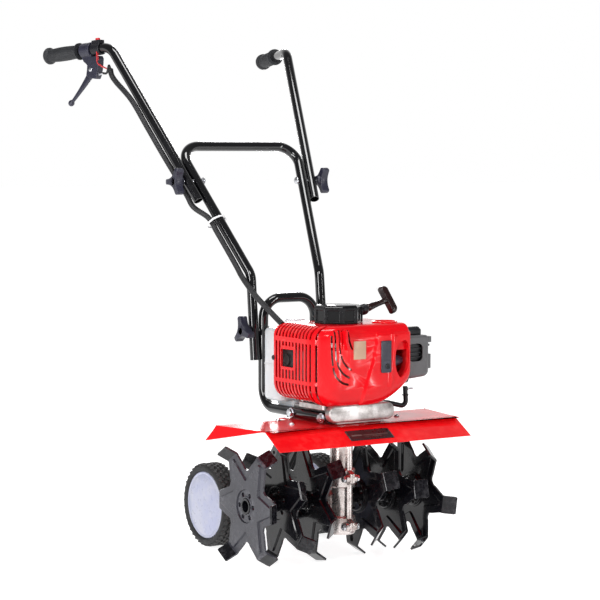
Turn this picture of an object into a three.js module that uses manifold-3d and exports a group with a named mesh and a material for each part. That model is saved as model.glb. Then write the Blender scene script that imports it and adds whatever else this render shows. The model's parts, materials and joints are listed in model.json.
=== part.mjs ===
// Two-stroke front-tine tiller: engine over a vertical gearbox, six tine discs, folding handlebars, rear wheels.
// Millimetres, Z up, ground at z = 0, tine axle along X, operator at +Y looking toward -Y.
// "right" and "left" are the operator's own sides, so the right side is -X.

import * as THREE from 'three';
import { mergeVertices } from 'three/addons/utils/BufferGeometryUtils.js';
import Module from 'manifold-3d';

const wasm = await Module();
wasm.setup();

const CLEARANCE = 0.3;
const PLAN_CENTRE_Y = 253.3;

const TINE_AXLE_HEIGHT = 115;
const TINE_RADIUS = 115;
const TINE_PLATE = 4;
const TINE_BEND_RADIUS = 96;
const TINE_VALLEY_RADIUS = 66;
const TINE_EMBOSS = { apex: 46, tip: 91, rise: 2 };
const TINE_STATIONS = [187, 120.5, 56];
const TINE_PHASES = { right: [30, 50, 8.5], left: [20, 40, 51.5] };
const ARM_COUNT = 6;
const FLAP_LENGTH = 29;
const FLAP_ANGLE = 54;
const TINE_HUB_RADIUS = 31;
const HUB_TUBE_RADIUS = 15;
const AXLE_RADIUS = 10;

const COLUMN_Y = -31;
const COLUMN_RADIUS = 21;
const CASE_BOTTOM = 52;
const CASE_TOP = 264.5;
const BAND_RADIUS = 26;
const LOWER_BAND_TOP = 85;
const UPPER_BAND_BOTTOM = 141;
const UPPER_BAND_TOP = 174;
const WORM_BORE = 14;
const WORM_WHEEL_RADIUS = 21.5;
const CASE_BOLT_HEIGHTS = { lower: 68, upper: 158 };
const CASE_BOLT_Y = COLUMN_Y - 29;

const TUBE_RADIUS = 9.5;
const TUBE_BORE = 8;
const HOOP_HALF_WIDTH = 58.5;
const SIDE_TUBE_HEIGHT = 276;
const HOOP_TOP = 483;
const HOOP_Y = 148;
const FRAME_BOLT_Y = { front: -67, rear: 35 };

const BASE_BOTTOM = 264.8;
const BASE_TOP = 290;
const BASE_HALF_WIDTH = HOOP_HALF_WIDTH - TUBE_RADIUS - CLEARANCE;
const BAR_FRONT_Y = -100;
const BAR_HALF_LENGTH = 73;
const BAR_HEIGHT = 32;

const GUARD_TOP = 264.5;
const GUARD_SHEET = 1.6;
const GUARD_HALF_WIDTH = 212;
const GUARD_FRONT_Y = -100;
const GUARD_REAR_Y = 28;
const FRONT_FLANGE = { reach: 50, drop: 31 };
const SIDE_FLANGE = { reach: 22, drop: 26 };
const GUARD_REAR_HALF_WIDTH = 236;
const SHEET_TAIL = { halfWidth: 80, y: 60 };

const HANDLE_LEAN = new THREE.Vector3(0.245, 0.72, 1);
const MIDDLE_FOOT = new THREE.Vector3(78.6, 146, 366);
const MIDDLE_BEND = new THREE.Vector3(78.2, 161, 528);
const CROSSBAR_HEIGHT = 773;
const UPPER_OFFSET = 21.5;
const UPPER_END_HEIGHT = 668;
const UPPER_BEND_HEIGHT = 970;
const UPPER_BOLT_HEIGHT = 705;
const LOWER_BOLT = { y: 150, z: 423 };
const GRIP_YAW = THREE.MathUtils.degToRad(16.2);
const GRIP_PITCH = THREE.MathUtils.degToRad(-4.3);
const GRIP_REACH = 179;
const GRIP_START = 86;
const GRIP_RADIUS = 13.5;
const GRIP_FLANGE_RADIUS = 17;

const LOOM_RADIUS = 5.5;
const LOOM_STANDOFF = 15.6;

const COVER = { xMin: -98, xMax: 102, yMin: -110, yMax: 53, zMin: 303, zMax: 446 };
const COVER_WALL = 3;
const COVER_CORNERS = { frontLeft: 48, frontRight: 14, rearRight: 24, rearLeft: 14 };
const COVER_EDGE = 12;

const STARTER_TOP = 480;
const STARTER_RADIUS = 45;
const STARTER_X = -9;
const ROPE_ANGLE = THREE.MathUtils.degToRad(16);
const ROPE_EXIT = new THREE.Vector3(52, COLUMN_Y, 469.5);
const GRIP_DISTANCE = 57;
const GRIP_TWIST = THREE.MathUtils.degToRad(-25);

const TANK = { halfWidth: 75, footHalfWidth: 46, yMin: 60, yMax: 130, zMin: 281, zMax: 430 };
const FILTER = { xMin: 107, xMax: 159, yMin: -92, yMax: -6, zMin: 339, zMax: 420 };

const WHEEL_RADIUS = 81;
const WHEEL_Y = 234;
const WHEEL_X = 122;
const TYRE_WIDTH = 42;
const RIM_RADIUS = 65;
const WHEEL_AXLE_RADIUS = 6;
const BRACKET_PIVOT = { y: 92, z: 268 };
const BRACKET_HALF_WIDTH = 27.5;

const FINISH = {
  redPaint: { color: '#e8141c', roughness: 0.25, metalness: 0.0 },
  redPlastic: { color: '#ee1a22', roughness: 0.3, metalness: 0.0 },
  blackPaint: { color: '#0d0d10', roughness: 0.22, metalness: 0.0 },
  tineBlack: { color: '#17181c', roughness: 0.32, metalness: 0.1 },
  blackPlastic: { color: '#1c1d22', roughness: 0.45, metalness: 0.0 },
  greyPlastic: { color: '#55565a', roughness: 0.5, metalness: 0.0 },
  bluePlastic: { color: '#2b2c3a', roughness: 0.45, metalness: 0.0 },
  rubber: { color: '#16171a', roughness: 0.75, metalness: 0.0 },
  tyreRubber: { color: '#141416', roughness: 0.85, metalness: 0.0 },
  castAluminium: { color: '#b9b6b2', roughness: 0.45, metalness: 0.8 },
  gearCasting: { color: '#a3968c', roughness: 0.35, metalness: 0.9 },
  steel: { color: '#b4b6ba', roughness: 0.3, metalness: 1.0 },
  darkSteel: { color: '#4a4a4e', roughness: 0.45, metalness: 0.9 },
  brass: { color: '#b08a4a', roughness: 0.35, metalness: 1.0 },
  whitePlastic: { color: '#f1f1f6', roughness: 0.4, metalness: 0.0 },
  tankPlastic: { color: '#dfe8ec', roughness: 0.35, metalness: 0.0 },
  redButton: { color: '#c8141a', roughness: 0.4, metalness: 0.0 },
};

// ---------------------------------------------------------------- solids

function solid(geometry) {
  const bare = geometry.clone();
  bare.deleteAttribute('normal');
  bare.deleteAttribute('uv');
  const merged = mergeVertices(bare, 1e-4);
  return new wasm.Manifold(new wasm.Mesh({
    numProp: 3,
    vertProperties: new Float32Array(merged.attributes.position.array),
    triVerts: new Uint32Array(merged.index.array),
  }));
}

function shell(body) {
  const mesh = body.getMesh();
  const geometry = new THREE.BufferGeometry();
  geometry.setAttribute('position', new THREE.BufferAttribute(new Float32Array(mesh.vertProperties), 3));
  geometry.setIndex(new THREE.BufferAttribute(new Uint32Array(mesh.triVerts), 1));
  const faceted = geometry.toNonIndexed();
  faceted.computeVertexNormals();
  return faceted;
}

function joined(bodies) {
  return bodies.reduce((whole, body) => whole.add(body));
}

function without(whole, cutters) {
  return cutters.reduce((rest, cutter) => rest.subtract(cutter), whole);
}

function block(xMin, xMax, yMin, yMax, zMin, zMax) {
  const geometry = new THREE.BoxGeometry(xMax - xMin, yMax - yMin, zMax - zMin);
  geometry.translate((xMin + xMax) / 2, (yMin + yMax) / 2, (zMin + zMax) / 2);
  return solid(geometry);
}

const AXIS_TURN = {
  x: (geometry) => geometry.rotateZ(-Math.PI / 2),
  y: (geometry) => geometry,
  z: (geometry) => geometry.rotateX(Math.PI / 2),
};

function rod(axis, radius, from, to, at, segments = 18) {
  const geometry = new THREE.CylinderGeometry(radius, radius, to - from, segments);
  AXIS_TURN[axis](geometry);
  const centre = { x: at.x ?? 0, y: at.y ?? 0, z: at.z ?? 0 };
  centre[axis] = (from + to) / 2;
  geometry.translate(centre.x, centre.y, centre.z);
  return solid(geometry);
}

function hexagon(axis, radius, from, to, at) {
  return rod(axis, radius, from, to, at, 6);
}

// Turned body: profile is [radius, height] pairs that start and end on the axis or close on themselves.
function turned(axis, profile, at, segments = 24) {
  const points = profile.map(([radius, height]) => new THREE.Vector2(radius, height));
  const geometry = new THREE.LatheGeometry(points, segments);
  AXIS_TURN[axis](geometry);
  geometry.translate(at.x ?? 0, at.y ?? 0, at.z ?? 0);
  const body = solid(geometry);
  return body.volume() < 0 ? solid(flipped(geometry)) : body;
}

function flipped(geometry) {
  const index = Array.from(geometry.index.array);
  for (let corner = 0; corner < index.length; corner += 3) {
    const held = index[corner];
    index[corner] = index[corner + 1];
    index[corner + 1] = held;
  }
  const copy = geometry.clone();
  copy.setIndex(index);
  return copy;
}

function outline(points) {
  return new THREE.Shape(points.map(([u, v]) => new THREE.Vector2(u, v)));
}

// A plate drawn in the YZ plane (u = Y, v = Z) and given thickness along X.
function sideways(shape, xMin, xMax, curveSegments = 3) {
  const geometry = new THREE.ExtrudeGeometry(shape, { depth: xMax - xMin, bevelEnabled: false, curveSegments });
  geometry.rotateX(Math.PI / 2);
  geometry.rotateZ(Math.PI / 2);
  geometry.translate(xMin, 0, 0);
  return solid(geometry);
}

// A plate drawn in the XZ plane (u = X, v = Z) and given thickness along Y.
function frontal(shape, yMin, yMax, curveSegments = 3) {
  const geometry = new THREE.ExtrudeGeometry(shape, { depth: yMax - yMin, bevelEnabled: false, curveSegments });
  geometry.rotateX(Math.PI / 2);
  geometry.translate(0, yMax, 0);
  return solid(geometry);
}

function roundedOutline(uMin, uMax, vMin, vMax, radius) {
  const shape = new THREE.Shape();
  shape.moveTo(uMin + radius, vMin);
  shape.lineTo(uMax - radius, vMin);
  shape.absarc(uMax - radius, vMin + radius, radius, -Math.PI / 2, 0);
  shape.lineTo(uMax, vMax - radius);
  shape.absarc(uMax - radius, vMax - radius, radius, 0, Math.PI / 2);
  shape.lineTo(uMin + radius, vMax);
  shape.absarc(uMin + radius, vMax - radius, radius, Math.PI / 2, Math.PI);
  shape.lineTo(uMin, vMin + radius);
  shape.absarc(uMin + radius, vMin + radius, radius, Math.PI, 1.5 * Math.PI);
  return shape;
}

// An upright block with rounded corners in plan and rounded top and bottom edges.
function pillow(box, corner, edge, steps = 3) {
  const shape = roundedOutline(box.xMin + edge, box.xMax - edge, box.yMin + edge, box.yMax - edge, corner - edge);
  const geometry = new THREE.ExtrudeGeometry(shape, {
    depth: box.zMax - box.zMin - 2 * edge,
    bevelEnabled: true,
    bevelSize: edge,
    bevelThickness: edge,
    bevelSegments: steps,
    curveSegments: steps,
  });
  geometry.translate(0, 0, box.zMin + edge);
  return solid(geometry);
}

// ---------------------------------------------------------------- bent tubes

const BEND_STEPS = 4;

class BentPath extends THREE.Curve {
  constructor(samples) {
    super();
    this.samples = samples;
  }

  getUtoTmapping(u) {
    return u;
  }

  getPoint(t) {
    const last = this.samples.length - 1;
    const place = Math.min(last - 1e-9, Math.max(0, t * last));
    const index = Math.floor(place);
    return this.samples[index].clone().lerp(this.samples[index + 1], place - index);
  }

  getTangent(t) {
    const last = this.samples.length - 1;
    const index = Math.round(t * last);
    const before = this.samples[Math.max(0, index - 1)];
    const here = this.samples[index];
    const after = this.samples[Math.min(last, index + 1)];
    const arriving = here.clone().sub(before).normalize();
    const leaving = after.clone().sub(here).normalize();
    return arriving.add(leaving).normalize();
  }
}

// Corner points with a bend radius become the sample points of a smooth centre line.
function centreLine(corners, bendRadius, steps = BEND_STEPS) {
  const samples = [corners[0].clone()];
  for (let index = 1; index < corners.length - 1; index += 1) {
    const back = corners[index - 1].clone().sub(corners[index]).normalize();
    const ahead = corners[index + 1].clone().sub(corners[index]).normalize();
    const half = back.angleTo(ahead) / 2;
    const reach = bendRadius / Math.tan(half);
    const centre = back.clone().add(ahead).normalize().multiplyScalar(bendRadius / Math.sin(half));
    const from = back.clone().multiplyScalar(reach).sub(centre);
    const to = ahead.clone().multiplyScalar(reach).sub(centre);
    const sweep = from.angleTo(to);
    const normal = from.clone().cross(to).normalize();
    for (let step = 0; step <= steps; step += 1) {
      const spoke = from.clone().applyAxisAngle(normal, (sweep * step) / steps);
      samples.push(corners[index].clone().add(centre).add(spoke));
    }
  }
  samples.push(corners[corners.length - 1].clone());
  return samples;
}

function swept(samples, radius, sides = 14) {
  const shape = new THREE.Shape();
  shape.absarc(0, 0, radius, 0, 2 * Math.PI);
  const geometry = new THREE.ExtrudeGeometry(shape, {
    steps: samples.length - 1,
    bevelEnabled: false,
    extrudePath: new BentPath(samples),
    curveSegments: sides / 2,
  });
  return solid(geometry);
}

function hollowTube(samples, sides = 10) {
  return swept(samples, TUBE_RADIUS, sides).subtract(swept(lengthened(samples, 1), TUBE_BORE, 6));
}

function lengthened(samples, extra) {
  const line = samples.map((point) => point.clone());
  const last = line.length - 1;
  line[0].add(line[0].clone().sub(line[1]).setLength(extra));
  line[last].add(line[last].clone().sub(line[last - 1]).setLength(extra));
  return line;
}

function bent(corners, radius, bendRadius, sides = 12, steps = BEND_STEPS) {
  return swept(centreLine(corners, bendRadius, steps), radius, sides);
}

// ---------------------------------------------------------------- the group

const tiller = new THREE.Group();
tiller.name = 'tiller';

function material(finish) {
  return new THREE.MeshStandardMaterial(FINISH[finish]);
}

function place(name, body, finish, parent = tiller) {
  const mesh = new THREE.Mesh(shell(body), material(finish));
  mesh.name = name;
  parent.add(mesh);
  return mesh;
}

const SIDES = [
  { name: 'right', sign: -1 },
  { name: 'left', sign: 1 },
];

function mirrored(body, sign) {
  return sign < 0 ? body.mirror([1, 0, 0]) : body;
}

function vec(x, y, z) {
  return new THREE.Vector3(x, y, z);
}

// ---------------------------------------------------------------- tine discs

function polar(radius, degrees) {
  const angle = THREE.MathUtils.degToRad(degrees);
  return [radius * Math.sin(angle), radius * Math.cos(angle)];
}

function starOutline() {
  const pitch = 360 / ARM_COUNT;
  const points = [];
  for (let arm = 0; arm < ARM_COUNT; arm += 1) {
    const middle = arm * pitch;
    points.push(polar(TINE_BEND_RADIUS + 1.5, middle - 10.2));
    points.push(polar(TINE_BEND_RADIUS + 1.5, middle + 10.2));
    points.push(polar(TINE_VALLEY_RADIUS + 5, middle + 23.5));
    points.push(polar(TINE_VALLEY_RADIUS, middle + pitch / 2));
    points.push(polar(TINE_VALLEY_RADIUS + 5, middle + pitch - 23.5));
  }
  return outline(points);
}

// Six-pointed panel pressed up from the disc, with a point running out along each arm.
function embossOutline() {
  const pitch = 360 / ARM_COUNT;
  const points = [];
  for (let arm = 0; arm < ARM_COUNT; arm += 1) {
    points.push(polar(TINE_EMBOSS.tip, arm * pitch - 1.5));
    points.push(polar(TINE_EMBOSS.tip, arm * pitch + 1.5));
    points.push(polar(TINE_EMBOSS.apex, (arm + 0.5) * pitch));
  }
  return outline(points);
}

function flap(degrees, outward) {
  const geometry = new THREE.BoxGeometry(TINE_PLATE, 34, FLAP_LENGTH);
  geometry.translate(0, 0, FLAP_LENGTH / 2);
  geometry.rotateY(THREE.MathUtils.degToRad(outward * FLAP_ANGLE));
  geometry.translate(0, 0, TINE_BEND_RADIUS - 1);
  geometry.rotateX(THREE.MathUtils.degToRad(-degrees));
  return solid(geometry);
}

function tineDisc(outerSide) {
  const half = TINE_PLATE / 2;
  const parts = [sideways(starOutline(), -half, half)];
  for (let arm = 0; arm < ARM_COUNT; arm += 1) {
    const degrees = (arm * 360) / ARM_COUNT;
    parts.push(flap(degrees, arm % 2 === 0 ? outerSide : -outerSide));
  }
  const embossBack = half - 0.5;
  const embossFace = half + TINE_EMBOSS.rise;
  const emboss = sideways(embossOutline(), embossBack, embossFace);
  parts.push(mirrored(emboss, outerSide));
  parts.push(rod('x', TINE_HUB_RADIUS, -5, 5, {}, 16));
  const cutters = [rod('x', HUB_TUBE_RADIUS + CLEARANCE + 0.4, -8, 8, {}, 14)];
  for (let hole = 0; hole < 6; hole += 1) {
    const [y, z] = polar(23, hole * 60);
    cutters.push(rod('x', 4.4, -8, 8, { y, z }, 6));
  }
  return without(joined(parts), cutters);
}

const tineGroup = new THREE.Group();
tineGroup.position.set(0, 0, TINE_AXLE_HEIGHT);
tiller.add(tineGroup);

place('tine_axle', rod('x', AXLE_RADIUS, -168, 168, {}, 14), 'steel', tineGroup);
for (const side of SIDES) {
  const tube = rod('x', HUB_TUBE_RADIUS, 34, 192, {}, 16)
    .subtract(rod('x', AXLE_RADIUS + CLEARANCE + 0.3, 30, 200, {}, 14));
  place(`hub_tube_${side.name}`, mirrored(tube, side.sign), 'tineBlack', tineGroup);
  TINE_STATIONS.forEach((station, index) => {
    const rank = ['outer', 'middle', 'inner'][index];
    const disc = place(`tine_disc_${side.name}_${rank}`, tineDisc(side.sign), 'tineBlack', tineGroup);
    disc.position.x = side.sign * station;
    disc.rotation.x = THREE.MathUtils.degToRad(-TINE_PHASES[side.name][index]);
  });
}

// ---------------------------------------------------------------- gearbox

function gearCaseWhole() {
  const axis = { y: COLUMN_Y };
  const wheelAxis = { y: 0, z: TINE_AXLE_HEIGHT };
  const outside = joined([
    rod('z', COLUMN_RADIUS, CASE_BOTTOM, CASE_TOP, axis, 20),
    rod('z', BAND_RADIUS, CASE_BOTTOM, LOWER_BAND_TOP, axis, 20),
    rod('z', BAND_RADIUS, UPPER_BAND_BOTTOM, UPPER_BAND_TOP, axis, 20),
    rod('x', 30, -18, 18, wheelAxis, 20),
    rod('x', 17, -32, 32, wheelAxis, 16),
    block(-5, 5, CASE_BOLT_Y - 8, COLUMN_Y - 10, 58, 236),
    rod('x', 8, -12, 12, { y: CASE_BOLT_Y, z: CASE_BOLT_HEIGHTS.lower }, 16),
    rod('x', 8, -12, 12, { y: CASE_BOLT_Y, z: CASE_BOLT_HEIGHTS.upper }, 16),
  ]);
  return without(outside, [
    rod('z', WORM_BORE, CASE_BOTTOM + 6, CASE_TOP + 1, axis, 12),
    rod('x', WORM_WHEEL_RADIUS + 3, -9, 9, wheelAxis, 16),
    rod('x', AXLE_RADIUS + CLEARANCE + 0.3, -40, 40, wheelAxis, 14),
    rod('x', 3.7, -20, 20, { y: CASE_BOLT_Y, z: CASE_BOLT_HEIGHTS.lower }, 8),
    rod('x', 3.7, -20, 20, { y: CASE_BOLT_Y, z: CASE_BOLT_HEIGHTS.upper }, 8),
  ]);
}

const gearCase = gearCaseWhole();
const seam = CLEARANCE / 2;
const leftSpace = block(seam, 60, -120, 80, 0, 300);
for (const side of SIDES) {
  place(`gear_case_${side.name}`, gearCase.intersect(mirrored(leftSpace, side.sign)), 'gearCasting');
}

for (const [level, z] of Object.entries(CASE_BOLT_HEIGHTS)) {
  const at = { y: CASE_BOLT_Y, z };
  const bolt = joined([
    rod('x', 3, -18, 14, at, 12),
    hexagon('x', 6.5, 12.3, 18, at),
    hexagon('x', 6.5, -17, -12.3, at),
  ]);
  place(`case_bolt_${level}`, bolt, 'steel');
}

function wormThread() {
  const turns = 3;
  const stepsPerTurn = 8;
  const samples = [];
  for (let step = 0; step <= turns * stepsPerTurn; step += 1) {
    const angle = (2 * Math.PI * step) / stepsPerTurn;
    const rise = -24 + (48 * step) / (turns * stepsPerTurn);
    samples.push(vec(7.2 * Math.cos(angle), COLUMN_Y + 7.2 * Math.sin(angle), TINE_AXLE_HEIGHT + rise));
  }
  return swept(samples, 1.8, 4);
}

const driveShaft = joined([
  rod('z', 7, 62, 262, { y: COLUMN_Y }, 12),
  rod('z', 6, 260, 297, { y: COLUMN_Y }, 12),
  rod('z', 33, 296, 299, { y: COLUMN_Y }, 22),
  rod('z', 33, 298, 313, { y: COLUMN_Y }, 22).subtract(rod('z', 30, 298.5, 314, { y: COLUMN_Y }, 22)),
  wormThread(),
]);
place('drive_shaft', driveShaft, 'steel');

function gearOutline(teeth, tip, root) {
  const pitch = 360 / teeth;
  const points = [];
  for (let tooth = 0; tooth < teeth; tooth += 1) {
    const middle = tooth * pitch;
    points.push(polar(root, middle - pitch * 0.35));
    points.push(polar(tip, middle - pitch * 0.16));
    points.push(polar(tip, middle + pitch * 0.16));
    points.push(polar(root, middle + pitch * 0.35));
  }
  return outline(points);
}

const wormWheel = without(sideways(gearOutline(16, WORM_WHEEL_RADIUS, 17.6), -6, 6), [
  rod('x', AXLE_RADIUS + CLEARANCE, -10, 10, {}, 20),
]);
place('worm_wheel', wormWheel, 'brass', tineGroup);

// ---------------------------------------------------------------- frame

const barMiddle = SIDE_TUBE_HEIGHT + 9;
const barShape = roundedOutline(
  -BAR_HALF_LENGTH, BAR_HALF_LENGTH, barMiddle - BAR_HEIGHT / 2, barMiddle + BAR_HEIGHT / 2, BAR_HEIGHT / 2 - 0.1,
);
const baseCasting = without(joined([
  block(-BASE_HALF_WIDTH, BASE_HALF_WIDTH, -90, 58, BASE_BOTTOM, BASE_TOP),
  frontal(barShape, BAR_FRONT_Y, -84.5),
  block(-24.5, 24.5, 50, 83, BASE_BOTTOM, 279),
  sideways(roundedOutline(64, 104, 257, 279, 10.9), -24.5, 24.5, 6),
]), [
  rod('z', 12, 250, 300, { y: COLUMN_Y }, 24),
  rod('x', 4.3, -60, 60, { y: FRAME_BOLT_Y.front, z: SIDE_TUBE_HEIGHT }, 12),
  rod('x', 4.3, -60, 60, { y: FRAME_BOLT_Y.rear, z: SIDE_TUBE_HEIGHT }, 12),
  rod('x', 5.3, -60, 60, BRACKET_PIVOT, 16),
  block(-18, 18, 42, 62, BASE_BOTTOM - 1, BASE_BOTTOM + 8),
]);
place('base_casting', baseCasting, 'castAluminium');

const hoopCorners = [
  vec(HOOP_HALF_WIDTH, -82, SIDE_TUBE_HEIGHT),
  vec(HOOP_HALF_WIDTH, HOOP_Y + 2, SIDE_TUBE_HEIGHT),
  vec(HOOP_HALF_WIDTH, HOOP_Y, HOOP_TOP),
  vec(-HOOP_HALF_WIDTH, HOOP_Y, HOOP_TOP),
  vec(-HOOP_HALF_WIDTH, HOOP_Y + 2, SIDE_TUBE_HEIGHT),
  vec(-HOOP_HALF_WIDTH, -82, SIDE_TUBE_HEIGHT),
];
const hoop = without(hollowTube(centreLine(hoopCorners, 38)), [
  rod('x', 4.7, -80, 80, { y: FRAME_BOLT_Y.front, z: SIDE_TUBE_HEIGHT }, 8),
  rod('x', 4.7, -80, 80, { y: FRAME_BOLT_Y.rear, z: SIDE_TUBE_HEIGHT }, 8),
  rod('x', 4.2, -80, 80, LOWER_BOLT, 8),
]);
place('hoop', hoop, 'blackPaint');

for (const [end, y] of Object.entries(FRAME_BOLT_Y)) {
  const at = { y, z: SIDE_TUBE_HEIGHT };
  const face = HOOP_HALF_WIDTH + TUBE_RADIUS + CLEARANCE;
  const bolt = joined([
    rod('x', 4, -face - 5, face + 5, at, 12),
    rod('x', 8.5, -face - 1.6, -face, at, 20),
    rod('x', 8.5, face, face + 1.6, at, 20),
    hexagon('x', 7, -face - 6.5, -face - 1, at),
    hexagon('x', 7, face + 1, face + 6.5, at),
  ]);
  place(`frame_bolt_${end}`, bolt, 'steel');
}

function guardBody() {
  const frontLength = Math.hypot(FRONT_FLANGE.reach, FRONT_FLANGE.drop);
  const frontGeometry = new THREE.BoxGeometry(2 * GUARD_HALF_WIDTH, frontLength, GUARD_SHEET);
  frontGeometry.translate(0, -frontLength / 2, -GUARD_SHEET / 2);
  frontGeometry.rotateX(Math.atan2(FRONT_FLANGE.drop, FRONT_FLANGE.reach));
  frontGeometry.translate(0, GUARD_FRONT_Y, GUARD_TOP);
  const widening = GUARD_REAR_HALF_WIDTH - GUARD_HALF_WIDTH;
  const depth = Math.hypot(GUARD_REAR_Y - GUARD_FRONT_Y, widening);
  const sideLength = Math.hypot(SIDE_FLANGE.reach, SIDE_FLANGE.drop);
  const wing = outline([[-1, 2], [0.6, 2], [sideLength, depth], [-1, depth]]);
  const wingGeometry = new THREE.ExtrudeGeometry(wing, { depth: GUARD_SHEET, bevelEnabled: false });
  wingGeometry.translate(0, 0, -GUARD_SHEET);
  wingGeometry.rotateY(Math.atan2(SIDE_FLANGE.drop, SIDE_FLANGE.reach));
  wingGeometry.rotateZ(-Math.atan2(widening, GUARD_REAR_Y - GUARD_FRONT_Y));
  wingGeometry.translate(GUARD_HALF_WIDTH, GUARD_FRONT_Y, GUARD_TOP);
  const wingBody = solid(wingGeometry);
  const sheet = outline([
    [-GUARD_HALF_WIDTH, GUARD_FRONT_Y], [GUARD_HALF_WIDTH, GUARD_FRONT_Y],
    [GUARD_REAR_HALF_WIDTH, GUARD_REAR_Y], [SHEET_TAIL.halfWidth, GUARD_REAR_Y],
    [SHEET_TAIL.halfWidth, SHEET_TAIL.y], [-SHEET_TAIL.halfWidth, SHEET_TAIL.y],
    [-SHEET_TAIL.halfWidth, GUARD_REAR_Y], [-GUARD_REAR_HALF_WIDTH, GUARD_REAR_Y],
  ]);
  const topGeometry = new THREE.ExtrudeGeometry(sheet, { depth: GUARD_SHEET, bevelEnabled: false });
  topGeometry.translate(0, 0, GUARD_TOP - GUARD_SHEET);
  const top = solid(topGeometry);
  return without(joined([top, solid(frontGeometry), wingBody, mirrored(wingBody, -1)]), [
    rod('z', COLUMN_RADIUS + 0.5, 250, 280, { y: COLUMN_Y }, 22),
  ]);
}
place('guard', guardBody(), 'redPaint');

const labelAngle = Math.atan2(FRONT_FLANGE.drop, FRONT_FLANGE.reach);
const labelGroup = new THREE.Group();
labelGroup.position.set(0, GUARD_FRONT_Y, GUARD_TOP);
labelGroup.rotation.x = labelAngle;
tiller.add(labelGroup);
place('guard_plate', block(-52, 44, -46, -18, CLEARANCE, CLEARANCE + 1), 'blackPlastic', labelGroup);

const stayRod = joined([
  bent([
    vec(70.4, -50, 295), vec(92, -50, 293), vec(133, -52, 283), vec(129, -54, 322),
  ], 4.6, 8, 10, 5),
  rod('x', 1.8, 128, 147, { y: -54, z: 317 }, 8),
]);
place('stay_rod', stayRod, 'blackPlastic');

// ---------------------------------------------------------------- handles

function onLean(height, offset) {
  const rise = height - MIDDLE_BEND.z;
  return vec(
    MIDDLE_BEND.x + offset + HANDLE_LEAN.x * rise, MIDDLE_BEND.y + HANDLE_LEAN.y * rise, height,
  );
}

function flippedSide(point) {
  return vec(-point.x, point.y, point.z);
}

const UPPER_BOLT = { y: onLean(UPPER_BOLT_HEIGHT, 0).y, z: UPPER_BOLT_HEIGHT };
const crossbarCorner = onLean(CROSSBAR_HEIGHT, 0);
const middleCorners = [MIDDLE_FOOT, MIDDLE_BEND, crossbarCorner];
const middleLine = [...middleCorners, ...middleCorners.slice().reverse().map(flippedSide)];
const middleHandle = without(hollowTube(centreLine(middleLine, 38)), [
  rod('x', 4.2, -140, 140, UPPER_BOLT, 8),
  rod('x', 4.2, -110, 110, LOWER_BOLT, 8),
]);
place('middle_handle', middleHandle, 'blackPaint');

const gripDirection = vec(
  Math.sin(GRIP_YAW) * Math.cos(GRIP_PITCH), Math.cos(GRIP_YAW) * Math.cos(GRIP_PITCH), Math.sin(GRIP_PITCH),
);
const upperCorner = onLean(UPPER_BEND_HEIGHT, UPPER_OFFSET);
const upperEnd = upperCorner.clone().addScaledVector(gripDirection, GRIP_REACH - 4);
const upperTube = without(
  hollowTube(centreLine([onLean(UPPER_END_HEIGHT, UPPER_OFFSET), upperCorner, upperEnd], 36)),
  [rod('x', 4.2, 100, 200, UPPER_BOLT, 8)],
);

const gripBody = without(turned('y', [
  [0, GRIP_START], [GRIP_FLANGE_RADIUS, GRIP_START], [GRIP_FLANGE_RADIUS, GRIP_START + 3],
  [GRIP_RADIUS - 0.8, GRIP_START + 5], [GRIP_RADIUS + 1, GRIP_START + 40], [GRIP_RADIUS, GRIP_REACH - 8],
  [GRIP_FLANGE_RADIUS, GRIP_REACH - 6], [GRIP_FLANGE_RADIUS, GRIP_REACH - 1], [GRIP_FLANGE_RADIUS - 3, GRIP_REACH + 2],
  [0, GRIP_REACH + 2],
], {}, 18), [rod('y', TUBE_RADIUS + CLEARANCE + 0.3, GRIP_START - 2, GRIP_REACH - 3, {}, 14)]);

// Three straight-sided arms with hollow flanks between them, drawn round the bolt axis.
const KNOB_TIP = [[25.4, -5.2], [27.6, -3.6], [28, 0], [27.6, 3.6], [25.4, 5.2]];
const KNOB_ARM_PITCH = (2 * Math.PI) / 3;
const KNOB_HOLLOW = new THREE.Vector2(5.7, 0);

function turnedPoint([along, across], angle) {
  return new THREE.Vector2(along, across).rotateAround(new THREE.Vector2(), angle);
}

const knobPoints = [0, 1, 2].flatMap((arm) => {
  const angle = arm * KNOB_ARM_PITCH;
  const flank = new THREE.QuadraticBezierCurve(
    turnedPoint(KNOB_TIP.at(-1), angle),
    KNOB_HOLLOW.clone().rotateAround(new THREE.Vector2(), angle + KNOB_ARM_PITCH / 2),
    turnedPoint(KNOB_TIP[0], angle + KNOB_ARM_PITCH),
  );
  return [...KNOB_TIP.map((point) => turnedPoint(point, angle)), ...flank.getPoints(6).slice(1, -1)];
});
const knobShape = new THREE.Shape(knobPoints);
const KNOB_BOSS = 5;
const KNOB_DEPTH = 21;

function knobBody() {
  return without(joined([
    rod('x', 10.5, 0, KNOB_BOSS + 1, {}, 20),
    sideways(knobShape, KNOB_BOSS, KNOB_DEPTH),
  ]), [
    rod('x', 4, -1, KNOB_DEPTH - 4, {}, 12),
    rod('x', 6.5, KNOB_DEPTH - 2.5, KNOB_DEPTH + 1, {}, 16),
  ]);
}

// How far round its bolt each knob stands when tightened.
const KNOB_TURNS = {
  upper: { right: THREE.MathUtils.degToRad(-2), left: 0 },
  lower: { right: THREE.MathUtils.degToRad(77), left: THREE.MathUtils.degToRad(30) },
};

// Carriage bolt from the inner tube's inboard face to just short of the knob's blind end.
function knobBolt(inboard, knobFace) {
  return joined([
    rod('x', 3.5, inboard - 4, knobFace + KNOB_DEPTH - 5, {}, 12),
    hexagon('x', 6.4, inboard - 5.5, inboard, {}),
  ]);
}

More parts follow.
